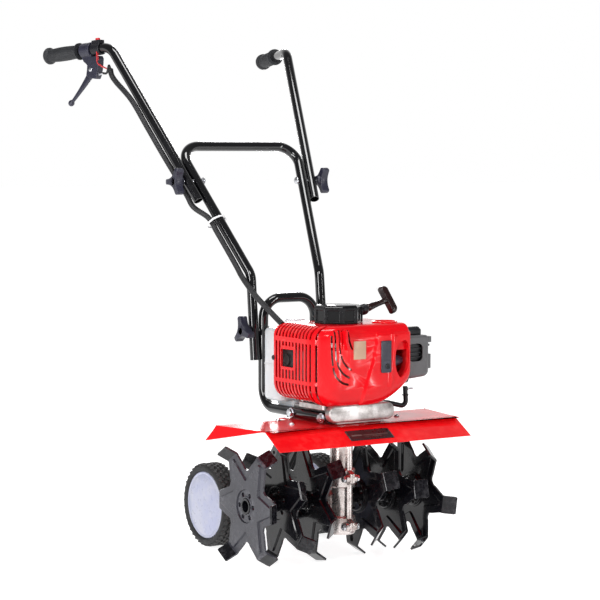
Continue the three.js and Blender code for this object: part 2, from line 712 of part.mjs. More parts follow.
for (const side of SIDES) {
  place(`upper_handle_${side.name}`, mirrored(upperTube, side.sign), 'blackPaint');

  const gripFrame = new THREE.Group();
  gripFrame.position.set(side.sign * upperCorner.x, upperCorner.y, upperCorner.z);
  gripFrame.rotation.set(GRIP_PITCH, 0, -side.sign * GRIP_YAW, 'ZXY');
  tiller.add(gripFrame);
  place(`grip_${side.name}`, gripBody, 'rubber', gripFrame);

  const upperX = onLean(UPPER_BOLT_HEIGHT, 0).x;
  const clamps = [
    {
      level: 'upper', at: UPPER_BOLT, inboard: upperX - 12.3, face: upperX + UPPER_OFFSET + 12.3,
    },
    {
      level: 'lower', at: LOWER_BOLT, inboard: HOOP_HALF_WIDTH - TUBE_RADIUS - CLEARANCE,
      face: MIDDLE_FOOT.x + TUBE_RADIUS + CLEARANCE,
    },
  ];
  for (const clamp of clamps) {
    const knob = place(`knob_${clamp.level}_${side.name}`, mirrored(knobBody(), side.sign), 'bluePlastic');
    knob.position.set(side.sign * clamp.face, clamp.at.y, clamp.at.z);
    knob.rotation.x = KNOB_TURNS[clamp.level][side.name];
    const bolt = mirrored(knobBolt(clamp.inboard, clamp.face), side.sign);
    const boltMesh = place(`knob_bolt_${clamp.level}_${side.name}`, bolt, 'steel');
    boltMesh.position.set(0, clamp.at.y, clamp.at.z);
  }
}

// ---------------------------------------------------------------- throttle and stop switch

const controls = new THREE.Group();
controls.position.set(-upperCorner.x, upperCorner.y, upperCorner.z);
controls.rotation.set(GRIP_PITCH, 0, GRIP_YAW, 'ZXY');
tiller.add(controls);

const LEVER_PIVOT = { y: 52, z: -40 };
const bracketOutline = outline([
  [76, -9], [73, -22], [62, -30], [66, -50], [60, -55], [40, -60], [32, -44], [27, -20], [30, -14.5], [48.5, -14], [49, -9],
]);
const throttleBracket = joined([
  without(joined([
    rod('y', 15, 50, 77, {}, 24),
    sideways(bracketOutline, -7.5, 7.5),
  ]), [
    rod('y', TUBE_RADIUS + CLEARANCE, 20, 90, {}, 24),
    block(-3.8, 3.8, 42, 90, -66, -26),
  ]),
  rod('x', 2.6, -7, 7, LEVER_PIVOT, 12),
]);
place('throttle_bracket', throttleBracket, 'bluePlastic', controls);

const leverEnd = { y: 121, z: -101 };
const leverSpan = Math.hypot(leverEnd.y - LEVER_PIVOT.y, leverEnd.z - LEVER_PIVOT.z);
const leverGroup = new THREE.Group();
leverGroup.position.set(0, LEVER_PIVOT.y, LEVER_PIVOT.z);
leverGroup.rotation.x = Math.atan2(leverEnd.z - LEVER_PIVOT.z, leverEnd.y - LEVER_PIVOT.y);
controls.add(leverGroup);
const leverBall = new THREE.SphereGeometry(6, 12, 8);
leverBall.translate(0, leverSpan, 0);
const throttleLever = without(joined([
  rod('x', 8, -3.2, 3.2, {}, 20),
  sideways(outline([[0, -8], [22, -7], [60, -4], [leverSpan, -3], [leverSpan, 3], [60, 4], [22, 6], [0, 8]]), -3.2, 3.2),
  solid(leverBall),
]), [rod('x', 2.9, -5, 5, {}, 12)]);
place('throttle_lever', throttleLever, 'bluePlastic', leverGroup);

const switchClamp = without(joined([
  rod('y', 13, 22, 47, {}, 24),
  block(-8, 8, 24, 45, 6, 17),
]), [
  rod('y', TUBE_RADIUS + CLEARANCE, 10, 60, {}, 24),
  rod('z', 5.3, 12.5, 20, { y: 34 }, 16),
]);
place('switch_clamp', switchClamp, 'blackPlastic', controls);
place('stop_button', rod('z', 5, 14.5, 21.5, { y: 34 }, 16), 'redButton', controls);

// ---------------------------------------------------------------- control loom

function loomBeside(height, offset) {
  const tube = flippedSide(onLean(height, offset));
  return tube.add(vec(-0.713, 0.466, -0.525).multiplyScalar(LOOM_STANDOFF));
}

function loomBehindKnob(height) {
  return flippedSide(onLean(height, UPPER_OFFSET)).add(vec(-4, 12.5, -12.5));
}

const loomLine = new THREE.CatmullRomCurve3([
  vec(-206.5, 482, 926),
  vec(-207, 476, 914),
  vec(-204, 463, 900),
  loomBeside(872, UPPER_OFFSET + 0.5),
  loomBeside(820, UPPER_OFFSET),
  loomBeside(770, UPPER_OFFSET),
  loomBehindKnob(722),
  loomBehindKnob(690),
  loomBehindKnob(668),
  loomBeside(643, 0.6),
  loomBeside(618, 0),
  loomBeside(585, 0),
  loomBeside(553, 0.5),
  vec(-94.5, 163, 521),
  vec(-90, 125, 490),
  vec(-78, 80, 455),
  vec(-76, 54, 440.5),
], false, 'centripetal');
place('control_loom', swept(loomLine.getPoints(40), LOOM_RADIUS, 6), 'rubber');

const tieHeight = 632;
const tieGroup = new THREE.Group();
const tieMiddle = flippedSide(onLean(tieHeight, 0)).add(vec(-0.713, 0.466, -0.525).multiplyScalar(7));
tieGroup.position.copy(tieMiddle);
tieGroup.quaternion.setFromUnitVectors(vec(0, 0, 1), vec(-HANDLE_LEAN.x, HANDLE_LEAN.y, HANDLE_LEAN.z).normalize());
tiller.add(tieGroup);
const tieRing = rod('z', 20, -1.3, 1.3, {}, 24).subtract(rod('z', 18.6, -3, 3, {}, 24));
place('zip_tie', joined([tieRing, block(18, 24, -2.2, 2.2, -2.2, 2.2)]), 'whitePlastic', tieGroup);

// ---------------------------------------------------------------- engine internals

const crankAxis = { y: COLUMN_Y };
const crankcase = without(joined([
  block(-70, 70, -75, 12, 290.3, 300),
  rod('z', 41, 290.3, 320, crankAxis, 22),
  block(-36, 36, -66, 4, 318, 398),
]), [
  rod('z', 37, 289, 317, crankAxis, 22),
  rod('z', 20, 330, 400, crankAxis, 24),
]);
place('crankcase', crankcase, 'castAluminium');

const cylinderParts = [rod('y', 24, -104, -66.3, { z: 368 }, 12)];
for (let fin = 0; fin < 5; fin += 1) {
  const y = -102.5 + fin * 7.6;
  cylinderParts.push(block(-33, 33, y, y + 2, 340, 396));
}
place('cylinder', without(joined(cylinderParts), [rod('y', 17, -94, -60, { z: 368 }, 14)]), 'castAluminium');

const muffler = joined([
  pillow({ xMin: -90, xMax: -36.3, yMin: -36, yMax: 40, zMin: 330, zMax: 398 }, 10, 5, 1),
  rod('x', 11, -94, -85, { y: 15, z: 378 }, 16).subtract(rod('x', 8.5, -96, -91.5, { y: 15, z: 378 }, 16)),
]);
place('muffler', muffler, 'darkSteel');

const flywheelParts = [
  rod('z', 7, 334, 402, crankAxis, 16),
  rod('z', 18, 340, 352, crankAxis, 20),
  rod('z', 46, 402, 412, crankAxis, 22),
  rod('z', 14, 412, 432, crankAxis, 20),
];
for (let blade = 0; blade < 8; blade += 1) {
  const geometry = new THREE.BoxGeometry(18, 2, 14);
  geometry.translate(35, 0, 418);
  geometry.rotateZ((blade * Math.PI) / 4);
  geometry.translate(0, COLUMN_Y, 0);
  flywheelParts.push(solid(geometry));
}
place('flywheel', joined(flywheelParts), 'castAluminium');

const plugBoot = joined([
  turned('x', [[0, 33.6], [9, 33.6], [9, 58], [13, 62], [12, 74], [6, 92], [0, 93]], { y: -92, z: 377 }, 20),
]);
place('plug_boot', plugBoot, 'bluePlastic');

// ---------------------------------------------------------------- engine cover

const SIDE_SLOTS = 12;
const SIDE_SLOT_PITCH = 11.14;
const SIDE_SLOT_FIRST = 39;
const SIDE_SLOT_WIDTH = 5;
const WINDOW = { yMin: -18.5, yMax: 22.5, zMin: 366, zMax: 398.5 };

function sideSlotCutters() {
  const cutters = [];
  for (let slot = 0; slot < SIDE_SLOTS; slot += 1) {
    const y = SIDE_SLOT_FIRST - slot * SIDE_SLOT_PITCH;
    const beside = y > WINDOW.yMax + 3 || y < WINDOW.yMin - 3;
    const spans = beside ? [[344, 413]] : [[344, WINDOW.zMin - 5], [WINDOW.zMax + 6, 413]];
    spans.push([421, 438], [310, 337]);
    for (const [from, to] of spans) {
      cutters.push(block(-110, -84, y - SIDE_SLOT_WIDTH / 2, y + SIDE_SLOT_WIDTH / 2, from, to));
    }
  }
  cutters.push(block(-110, -84, WINDOW.yMin, WINDOW.yMax, WINDOW.zMin, WINDOW.zMax));
  return cutters;
}

// Centre lines of the front slots in the XZ plane: five upper ones, and four that carry on below a gap.
const FRONT_SLOTS = [
  [[-69.6, 428], [-69.4, 400], [-68.4, 386], [-67.6, 376]],
  [[-62.8, 436], [-63, 412], [-62, 394], [-60.8, 385]],
  [[-55, 437], [-54.8, 416], [-53.9, 404], [-52.8, 397]],
  [[-46, 437], [-45.4, 418], [-44, 410], [-42.3, 404]],
  [[-36, 437], [-34, 420], [-31, 411], [-27.8, 404]],
  [[-66.8, 370], [-64.8, 361], [-60, 352], [-53.5, 346], [-46, 341.5], [-36.5, 339]],
  [[-59, 380], [-56.2, 371], [-50.6, 363], [-44, 357], [-34, 351.5]],
  [[-50.8, 391], [-47.5, 382.5], [-42, 375], [-36, 369.5], [-30, 366]],
  [[-40.6, 402.5], [-37.5, 395], [-33.5, 389], [-28.3, 382.6]],
];
const FRONT_SLOT_WIDTH = 3.8;

// A centre line widened into a closed outline.
function stroke(line, width) {
  const left = [];
  const right = [];
  line.forEach((point, index) => {
    const before = line[Math.max(0, index - 1)];
    const after = line[Math.min(line.length - 1, index + 1)];
    const heading = Math.atan2(after[1] - before[1], after[0] - before[0]);
    const across = [-Math.sin(heading) * (width / 2), Math.cos(heading) * (width / 2)];
    left.push([point[0] + across[0], point[1] + across[1]]);
    right.unshift([point[0] - across[0], point[1] - across[1]]);
  });
  return outline([...left, ...right]);
}

function frontSlotCutters() {
  return FRONT_SLOTS.map((line) => frontal(stroke(line, FRONT_SLOT_WIDTH), -116, -92, 1));
}

// Plan view of the pod: each corner has its own radius, and the one by the slots is the widest.
function coverOutline(box, inset) {
  const { frontLeft, frontRight, rearRight, rearLeft } = COVER_CORNERS;
  const corners = [
    [box.xMin, box.yMin, 1, 1, frontLeft, 180, 6],
    [box.xMax, box.yMin, -1, 1, frontRight, 270, 2],
    [box.xMax, box.yMax, -1, -1, rearRight, 0, 3],
    [box.xMin, box.yMax, 1, -1, rearLeft, 90, 2],
  ];
  const points = [];
  for (const [x, y, inwardX, inwardY, fullRadius, start, steps] of corners) {
    const radius = Math.max(0.5, fullRadius - inset);
    for (let step = 0; step <= steps; step += 1) {
      const angle = THREE.MathUtils.degToRad(start + (90 * step) / steps);
      points.push([
        x + inwardX * radius + radius * Math.cos(angle), y + inwardY * radius + radius * Math.sin(angle),
      ]);
    }
  }
  return outline(points);
}

function coverPod(box, wall, edge, steps) {
  const base = {
    xMin: box.xMin + edge, xMax: box.xMax - edge, yMin: box.yMin + edge, yMax: box.yMax - edge,
  };
  const geometry = new THREE.ExtrudeGeometry(coverOutline(base, wall + edge), {
    depth: box.zMax - box.zMin - 2 * edge,
    bevelEnabled: true,
    bevelSize: edge,
    bevelThickness: edge,
    bevelSegments: steps,
  });
  geometry.translate(0, 0, box.zMin + edge);
  return solid(geometry);
}

function coverBody() {
  const inner = {
    xMin: COVER.xMin + COVER_WALL, xMax: COVER.xMax - COVER_WALL,
    yMin: COVER.yMin + COVER_WALL, yMax: COVER.yMax - COVER_WALL,
    zMin: COVER.zMin - 40, zMax: COVER.zMax - COVER_WALL,
  };
  const hump = rod('z', 24, COVER.zMax - 6, COVER.zMax + 3.5, { x: 70, y: -76 }, 28);
  const outside = joined([coverPod(COVER, 0, COVER_EDGE, 2), hump]);
  const slope = sideCut();
  return without(outside, [
    coverPod(inner, COVER_WALL, COVER_EDGE - 1, 1),
    rod('z', 36, COVER.zMax - 10, COVER.zMax + 10, { x: STARTER_X, y: COLUMN_Y }, 22),
    slope,
    frontal(tearOutline(), -116, -100, 8),
    rod('x', 16.5, 90, 110, { y: -45, z: 372 }, 24),
    ...sideSlotCutters(),
    ...frontSlotCutters(),
  ]);
}

// The lower right corner of the cover is cut away at a slant.
function sideCut() {
  return frontal(outline([[40, 280], [140, 280], [140, 352], [101, 336], [86, 318], [60, 306]]), -130, 70);
}

function tearOutline() {
  const shape = new THREE.Shape();
  shape.moveTo(66.5, 388);
  shape.bezierCurveTo(68, 404, 76, 415, 87, 415);
  shape.bezierCurveTo(96, 415, 97.5, 404, 97.5, 390);
  shape.bezierCurveTo(97.5, 372, 97, 356, 79, 346);
  shape.bezierCurveTo(70, 350, 64, 372, 66.5, 388);
  return shape;
}
place('engine_cover', coverBody(), 'redPlastic');

place('cover_plate', joined([
  frontal(roundedOutline(33.5, 56, 357, 416, 2), COVER.yMin - CLEARANCE - 2.5, COVER.yMin - CLEARANCE, 3),
  rod('y', 5, COVER.yMin - 5, COVER.yMin - 2, { x: 47, z: 369 }, 16),
]), 'bluePlastic');

// ---------------------------------------------------------------- starter

function octagon(radius) {
  const shape = new THREE.Shape();
  for (let corner = 0; corner < 8; corner += 1) {
    const angle = (Math.PI / 4) * (corner + 0.5);
    const point = [radius * Math.cos(angle), radius * Math.sin(angle)];
    if (corner === 0) {
      shape.moveTo(...point);
    } else {
      shape.lineTo(...point);
    }
  }
  return shape;
}

// Round solid along the rope line, measured from where the rope leaves its guide.
function alongRope(innerRadius, outerRadius, from, to, segments) {
  const geometry = new THREE.CylinderGeometry(outerRadius, innerRadius, to - from, segments);
  geometry.translate(0, (from + to) / 2, 0);
  geometry.rotateZ(-Math.PI / 2);
  geometry.rotateY(-ROPE_ANGLE);
  geometry.translate(ROPE_EXIT.x, ROPE_EXIT.y, ROPE_EXIT.z);
  return solid(geometry);
}

function starterShape() {
  const geometry = new THREE.ExtrudeGeometry(octagon(STARTER_RADIUS - 5), {
    depth: 24, bevelEnabled: true, bevelSize: 6, bevelThickness: 6, bevelSegments: 1,
  });
  geometry.translate(STARTER_X, COLUMN_Y, STARTER_TOP - 30);
  const floor = COVER.zMax + CLEARANCE;
  const boot = joined([alongRope(10, 9.5, -14, -2, 14), alongRope(9.5, 6.5, -2.1, 4, 14)]);
  return without(joined([
    solid(geometry),
    block(20, 42, COLUMN_Y - 11, COLUMN_Y + 11, floor, 476),
    boot,
  ]).intersect(block(-80, 90, -110, 50, floor, STARTER_TOP + 5)), [
    rod('z', 36, floor - 5, STARTER_TOP - 3, { x: STARTER_X, y: COLUMN_Y }, 22),
    alongRope(3, 3, -40, 10, 12),
  ]);
}
place('starter_housing', starterShape(), 'blackPlastic');

const pull = new THREE.Group();
pull.position.copy(ROPE_EXIT);
pull.rotation.y = -ROPE_ANGLE;
tiller.add(pull);
const tBar = new THREE.ExtrudeGeometry(roundedOutline(-27, 27, -7.6, 7.6, 6.2), {
  depth: 10, bevelEnabled: true, bevelSize: 1.8, bevelThickness: 1.8, bevelSegments: 1, curveSegments: 3,
});
tBar.rotateY(Math.PI / 2);
tBar.rotateX(GRIP_TWIST);
tBar.translate(GRIP_DISTANCE - 4, 0, 0);
const starterGrip = without(joined([
  solid(tBar),
  turned('x', [[0, 5], [7, 5], [7.4, 12], [5.6, 24], [5, 40], [6.5, GRIP_DISTANCE], [0, GRIP_DISTANCE]], {}, 12),
]), [rod('x', 2.1, -2, 24, {}, 10)]);
place('starter_grip', starterGrip, 'blackPlastic', pull);
place('starter_rope', rod('x', 1.8, -68, 23, {}, 8), 'whitePlastic', pull);

// ---------------------------------------------------------------- intake side and fuel

const filterHousing = without(joined([
  pillow(FILTER, 9, 4, 1),
  rod('x', 14, 36.4, 112, { y: -45, z: 372 }, 24),
  block(FILTER.xMax - 2, FILTER.xMax + 7, FILTER.yMin + 5, FILTER.yMax - 8, 357, 384),
  block(FILTER.xMax - 2, FILTER.xMax + 8, FILTER.yMin + 5, FILTER.yMax - 8, 406, 416),
]), [
  pillow({
    xMin: FILTER.xMin + 3, xMax: FILTER.xMax - 3, yMin: FILTER.yMin + 3, yMax: FILTER.yMax - 3,
    zMin: FILTER.zMin + 3, zMax: FILTER.zMax - 3,
  }, 7, 3, 1),
  frontal(roundedOutline(111, 142, 372, 405, 8), FILTER.yMin - 2, FILTER.yMin + 8, 3),
  rod('x', 10, 30, 115, { y: -45, z: 372 }, 16),
]);
place('air_filter_box', filterHousing, 'greyPlastic');

const CHOKE_PIVOT = { x: 118, y: -70 };
const chokeLever = pillow({ xMin: -10, xMax: 34, yMin: -9, yMax: 9, zMin: 0, zMax: 15 }, 7, 3, 1);
const choke = place('choke_lever', chokeLever, 'blackPlastic');
choke.position.set(CHOKE_PIVOT.x, CHOKE_PIVOT.y, FILTER.zMax + CLEARANCE);

const tankBox = { xMin: -TANK.halfWidth, xMax: TANK.halfWidth, yMin: TANK.yMin, yMax: TANK.yMax };
const NECK = { x: -20, y: 96 };
const tank = without(joined([
  pillow({ ...tankBox, zMin: 293, zMax: TANK.zMax }, 18, 8, 2),
  block(-TANK.footHalfWidth, TANK.footHalfWidth, TANK.yMin + 2, TANK.yMax - 6, TANK.zMin, 310),
  rod('z', 15, TANK.zMax - 4, TANK.zMax + 8, NECK, 24),
]), [
  pillow({
    xMin: tankBox.xMin + 3, xMax: tankBox.xMax - 3, yMin: tankBox.yMin + 3, yMax: tankBox.yMax - 3,
    zMin: 296, zMax: TANK.zMax - 3,
  }, 15, 7, 1),
  rod('z', 11, TANK.zMax - 8, TANK.zMax + 20, NECK, 24),
]);
place('fuel_tank', tank, 'tankPlastic');

const capBase = TANK.zMax + CLEARANCE;
const fuelCap = turned('z', [
  [15.4, capBase], [20, capBase], [20, capBase + 14], [17, capBase + 17], [0, capBase + 17],
  [0, capBase + 8.5], [15.4, capBase + 8.5], [15.4, capBase],
], NECK, 24);
place('fuel_cap', fuelCap, 'whitePlastic');

// ---------------------------------------------------------------- wheels

const armOutline = (() => {
  const from = new THREE.Vector2(WHEEL_Y, WHEEL_RADIUS);
  const to = new THREE.Vector2(BRACKET_PIVOT.y, BRACKET_PIVOT.z);
  const across = to.clone().sub(from).normalize().rotateAround(new THREE.Vector2(), Math.PI / 2);
  const angle = Math.atan2(across.y, across.x);
  const shape = new THREE.Shape();
  shape.absarc(from.x, from.y, 12, angle + Math.PI, angle, true);
  shape.absarc(to.x, to.y, 9.5, angle, angle - Math.PI, true);
  return shape;
})();

function wheelBracket() {
  const plate = sideways(armOutline, 25, 30, 4);
  const pivot = { y: BRACKET_PIVOT.y, z: BRACKET_PIVOT.z };
  const axle = { y: WHEEL_Y, z: WHEEL_RADIUS };
  const spanY = WHEEL_Y - BRACKET_PIVOT.y;
  const spanZ = WHEEL_RADIUS - BRACKET_PIVOT.z;
  const web = new THREE.BoxGeometry(2 * BRACKET_HALF_WIDTH, 70, 4);
  web.rotateX(Math.atan2(spanZ, spanY));
  web.translate(0, BRACKET_PIVOT.y + spanY * 0.55, BRACKET_PIVOT.z + spanZ * 0.55);
  return joined([
    plate,
    mirrored(plate, -1),
    solid(web),
    rod('x', 5, -32, 32, pivot, 10),
    rod('x', WHEEL_AXLE_RADIUS, -WHEEL_X - 12, WHEEL_X + 12, axle, 12),
    rod('x', 9, -WHEEL_X + TYRE_WIDTH / 2 - 2, WHEEL_X - TYRE_WIDTH / 2 + 2, axle, 12),
  ]);
}
place('wheel_bracket', wheelBracket(), 'blackPaint');

function tyreBody() {
  const half = TYRE_WIDTH / 2;
  const tread = WHEEL_RADIUS;
  const profile = [
    [RIM_RADIUS, -half + 4], [RIM_RADIUS + 6, -half], [tread - 4, -half + 2], [tread, -half + 7],
    [tread, -3], [tread - 2.5, -1.5], [tread - 2.5, 1.5], [tread, 3],
    [tread, half - 7], [tread - 4, half - 2], [RIM_RADIUS + 6, half], [RIM_RADIUS, half - 4],
    [RIM_RADIUS, -half + 4],
  ];
  return turned('x', profile, {}, 24);
}

function rimBody() {
  const half = TYRE_WIDTH / 2;
  const outer = RIM_RADIUS - CLEARANCE;
  const profile = [
    [0, half], [35, half - 1.2], [outer - 4, half - 5], [outer, half - 7],
    [outer, -half + 5], [outer - 3, -half + 5], [outer - 3, half - 12], [16, half - 8],
    [14, -half + 3.4], [WHEEL_AXLE_RADIUS + CLEARANCE, -half + 3.4], [WHEEL_AXLE_RADIUS + CLEARANCE, half - 7.5],
    [0, half - 7.5],
  ];
  return turned('x', profile, {}, 24);
}

for (const side of SIDES) {
  for (const [name, body, finish] of [['tyre', tyreBody(), 'tyreRubber'], ['wheel_rim', rimBody(), 'whitePlastic']]) {
    const mesh = place(`${name}_${side.name}`, mirrored(body, side.sign), finish);
    mesh.position.set(side.sign * WHEEL_X, WHEEL_Y, WHEEL_RADIUS);
  }
}

// The origin stands on the ground at the middle of the machine's plan.
tiller.position.y = -PLAN_CENTRE_Y;
const machine = new THREE.Group();
machine.name = 'machine';
machine.add(tiller);
export default machine;
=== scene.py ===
"""Looks of a front-tine tiller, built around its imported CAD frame.

Shapes are drawn in millimetres in the machine's own frame: X along the tine axle, Y backwards from the axle,
Z up from the ground. piece() carries each finished shape into the row frame, in metres.
"""

import json
import math

import bmesh
import bpy
from mathutils import Matrix, Vector
from mathutils.geometry import delaunay_2d_cdt

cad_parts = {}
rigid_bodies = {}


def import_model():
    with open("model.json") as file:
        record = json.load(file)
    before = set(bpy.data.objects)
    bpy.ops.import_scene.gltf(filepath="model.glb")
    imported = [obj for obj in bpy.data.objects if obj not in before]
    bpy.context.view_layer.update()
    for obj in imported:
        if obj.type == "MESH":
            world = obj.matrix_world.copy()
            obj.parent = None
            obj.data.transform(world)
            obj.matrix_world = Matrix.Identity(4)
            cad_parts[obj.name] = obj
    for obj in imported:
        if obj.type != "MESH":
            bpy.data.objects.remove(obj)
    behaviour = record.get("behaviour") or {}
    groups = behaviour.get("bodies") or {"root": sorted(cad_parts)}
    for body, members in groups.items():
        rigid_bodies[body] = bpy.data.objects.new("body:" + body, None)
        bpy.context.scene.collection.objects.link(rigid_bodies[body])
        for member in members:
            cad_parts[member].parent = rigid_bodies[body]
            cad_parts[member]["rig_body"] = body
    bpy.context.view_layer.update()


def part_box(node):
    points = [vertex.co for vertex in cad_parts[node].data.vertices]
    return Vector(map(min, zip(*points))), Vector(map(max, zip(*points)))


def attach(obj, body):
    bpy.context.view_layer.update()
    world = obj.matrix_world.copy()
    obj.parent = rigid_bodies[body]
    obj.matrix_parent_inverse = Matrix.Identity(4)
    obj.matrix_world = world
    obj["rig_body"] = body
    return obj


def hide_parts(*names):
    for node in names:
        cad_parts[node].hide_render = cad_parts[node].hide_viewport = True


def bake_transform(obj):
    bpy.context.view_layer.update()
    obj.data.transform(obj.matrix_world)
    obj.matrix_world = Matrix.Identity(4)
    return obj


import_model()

MM = 0.001


def middle(node):
    """Centre of a CAD node's box, in metres."""
    low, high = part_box(node)
    return (low + high) / 2


AXLE = middle("tine_axle")
TO_ROW = Matrix.Translation((0, AXLE.y, 0)) @ Matrix.Scale(MM, 4)
TINE_AXLE_HEIGHT = AXLE.z / MM
TINE_AXLE = (0, 0, TINE_AXLE_HEIGHT)
SIDES = (("right", -1), ("left", 1))


# ---------------------------------------------------------------- driving sizes, in millimetres

COLUMN_Y = -31
COLUMN = (0, COLUMN_Y, 0)
TUBE_RADIUS = 9.5
TUBE_BORE_RADIUS = 8
HOOP_HALF_WIDTH = 58.5
SIDE_TUBE_HEIGHT = 276
HOOP_Y = 148
HOOP_TOP = 483
GUARD_TOP = 264.5
HANDLE_LEAN = Vector((0.245, 0.72, 1))
MIDDLE_FOOT = Vector((78.6, 146, 366))
MIDDLE_BEND = Vector((78.2, 161, 528))
CROSSBAR_HEIGHT = 773
UPPER_OFFSET = 21.5
UPPER_END_HEIGHT = 668
UPPER_BEND_HEIGHT = 970
UPPER_BOLT_HEIGHT = 705
LOWER_BOLT = Vector((0, 150, 423))
GRIP_YAW = math.radians(16.2)
GRIP_PITCH = math.radians(-4.3)
GRIP_REACH = 179
GRIP_START = 86
COVER = {"x": (-99, 103.5), "y": (-110, 53), "z": (303, 446)}
STARTER_TOP = 480
STARTER_X = -9
STARTER_RADIUS = 44
ROPE_ANGLE = math.radians(16)
ROPE_EXIT = Vector((52, COLUMN_Y, 469.5))
GRIP_TWIST = math.radians(-25)
FILTER = {"x": (107, 159), "y": (-92, -6), "z": (339, 420)}
TANK = {"x": (-75, 75), "y": (60, 130), "z": (281, 430)}
WHEEL_X = 122
WHEEL_Y = 234
WHEEL_RADIUS = 81
TYRE_WIDTH = 42
RIM_RADIUS = 65
CARRIER_PIVOT = Vector((92, 268))
FRAME_BOLTS = {"front": -67, "rear": 35}
INTAKE = (0, -45, 372)
EXHAUST = (0, 15, 378)
CAP_AT = (-20, 96, 0)


# ---------------------------------------------------------------- shapes


def shape_from(verts, faces):
    """A closed mesh object from corner points and faces, with its faces pointing out."""
    mesh = bpy.data.meshes.new("shape")
    mesh.from_pydata([tuple(v) for v in verts], [], faces)
    work = bmesh.new()
    work.from_mesh(mesh)
    bmesh.ops.recalc_face_normals(work, faces=work.faces)
    work.to_mesh(mesh)
    work.free()
    obj = bpy.data.objects.new("shape", mesh)
    bpy.context.scene.collection.objects.link(obj)
    return obj


def loft(rings, closed=False):
    """Skin over rings that all have the same number of points."""
    count = len(rings[0])
    verts = [point for ring in rings for point in ring]
    faces = []
    spans = len(rings) if closed else len(rings) - 1
    for level in range(spans):
        here = level * count
        there = ((level + 1) % len(rings)) * count
        for index in range(count):
            after = (index + 1) % count
            faces.append((here + index, here + after, there + after, there + index))
    if not closed:
        faces.append(tuple(reversed(range(count))))
        faces.append(tuple(range((len(rings) - 1) * count, len(rings) * count)))
    return shape_from(verts, faces)


PLANE_AXES = {"x": (1, 2, 0), "y": (0, 2, 1), "z": (0, 1, 2)}


def on_plane(axis, u, v, height):
    """A point drawn at (u, v) in the plane square to an axis: YZ for x, XZ for y, XY for z."""
    point = [0, 0, 0]
    first, second, third = PLANE_AXES[axis]
    point[first] = u
    point[second] = v
    point[third] = height
    return Vector(point)


def plate(axis, outline, low, high):
    """A flat outline given thickness along an axis."""
    return loft([[on_plane(axis, u, v, h) for u, v in outline] for h in (low, high)])


def stepped(axis, levels, outline):
    """Skin over the outlines that outline(inset) gives at each (height, inset) along an axis."""
    return loft([[on_plane(axis, u, v, height) for u, v in outline(inset)] for height, inset in levels])


def block(x_min, x_max, y_min, y_max, z_min, z_max):
    outline = [(x_min, y_min), (x_max, y_min), (x_max, y_max), (x_min, y_max)]
    return plate("z", outline, z_min, z_max)


def lathe(axis, profile, at=(0, 0, 0), segments=64):
    """Turned body: profile is (radius, height) pairs, from the axis to the axis or closed on itself."""
    centre = Vector(at)
    on_axis = profile[0][0] == 0 and profile[-1][0] == 0
    ring_profile = profile[1:-1] if on_axis else profile
    first, second, third = PLANE_AXES[axis]
    rings = []
    for radius, height in ring_profile:
        ring = []
        for step in range(segments):
            angle = 2 * math.pi * step / segments
            point = centre.copy()
            point[first] += radius * math.cos(angle)
            point[second] += radius * math.sin(angle)
            point[third] += height
            ring.append(point)
        rings.append(ring)
    if not on_axis:
        return loft(rings, closed=True)
    low, high = centre.copy(), centre.copy()
    low[third] += profile[0][1]
    high[third] += profile[-1][1]
    verts = [point for ring in rings for point in ring] + [low, high]
    faces = []
    for level in range(len(rings) - 1):
        for index in range(segments):
            after = (index + 1) % segments
            here, there = level * segments, (level + 1) * segments
            faces.append((here + index, here + after, there + after, there + index))
    last = (len(rings) - 1) * segments
    for index in range(segments):
        after = (index + 1) % segments
        faces.append((after, index, len(verts) - 2))
        faces.append((last + index, last + after, len(verts) - 1))
    return shape_from(verts, faces)


def rod(axis, radius, low, high, at=(0, 0, 0), segments=48, chamfer=0.0):
    if chamfer == 0:
        profile = [(0, low), (radius, low), (radius, high), (0, high)]
    else:
        profile = [
            (0, low), (radius - chamfer, low), (radius, low + chamfer),
            (radius, high - chamfer), (radius - chamfer, high), (0, high),
        ]
    return lathe(axis, profile, at, segments)


def arc(centre, radius, start, end, steps):
    """Points on a circle in the plane, from one angle to another, in degrees."""
    points = []
    for step in range(steps + 1):
        angle = math.radians(start + (end - start) * step / steps)
        points.append((centre[0] + radius * math.cos(angle), centre[1] + radius * math.sin(angle)))
    return points


def rounded(u_min, u_max, v_min, v_max, radius, steps=6):
    """Outline of a rectangle with rounded corners."""
    return (
        arc((u_max - radius, v_min + radius), radius, -90, 0, steps)
        + arc((u_max - radius, v_max - radius), radius, 0, 90, steps)
        + arc((u_min + radius, v_max - radius), radius, 90, 180, steps)
        + arc((u_min + radius, v_min + radius), radius, 180, 270, steps)
    )


def even_ring(x_min, x_max, y_min, y_max, radius, spacing, corner_steps):
    """Rounded rectangle in plan whose straight sides are divided into even steps."""
    corners = [
        ((x_max - radius, y_min + radius), -90),
        ((x_max - radius, y_max - radius), 0),
        ((x_min + radius, y_max - radius), 90),
        ((x_min + radius, y_min + radius), 180),
    ]
    counts = [spacing[1], spacing[0], spacing[1], spacing[0]]
    points = []
    for index, (centre, start) in enumerate(corners):
        bend = arc(centre, radius, start, start + 90, corner_steps)
        points += bend
        following, next_start = corners[(index + 1) % 4]
        target = arc(following, radius, next_start, next_start + 90, corner_steps)[0]
        for step in range(1, counts[index]):
            share = step / counts[index]
            points.append(tuple(a + (b - a) * share for a, b in zip(bend[-1], target)))
    return points


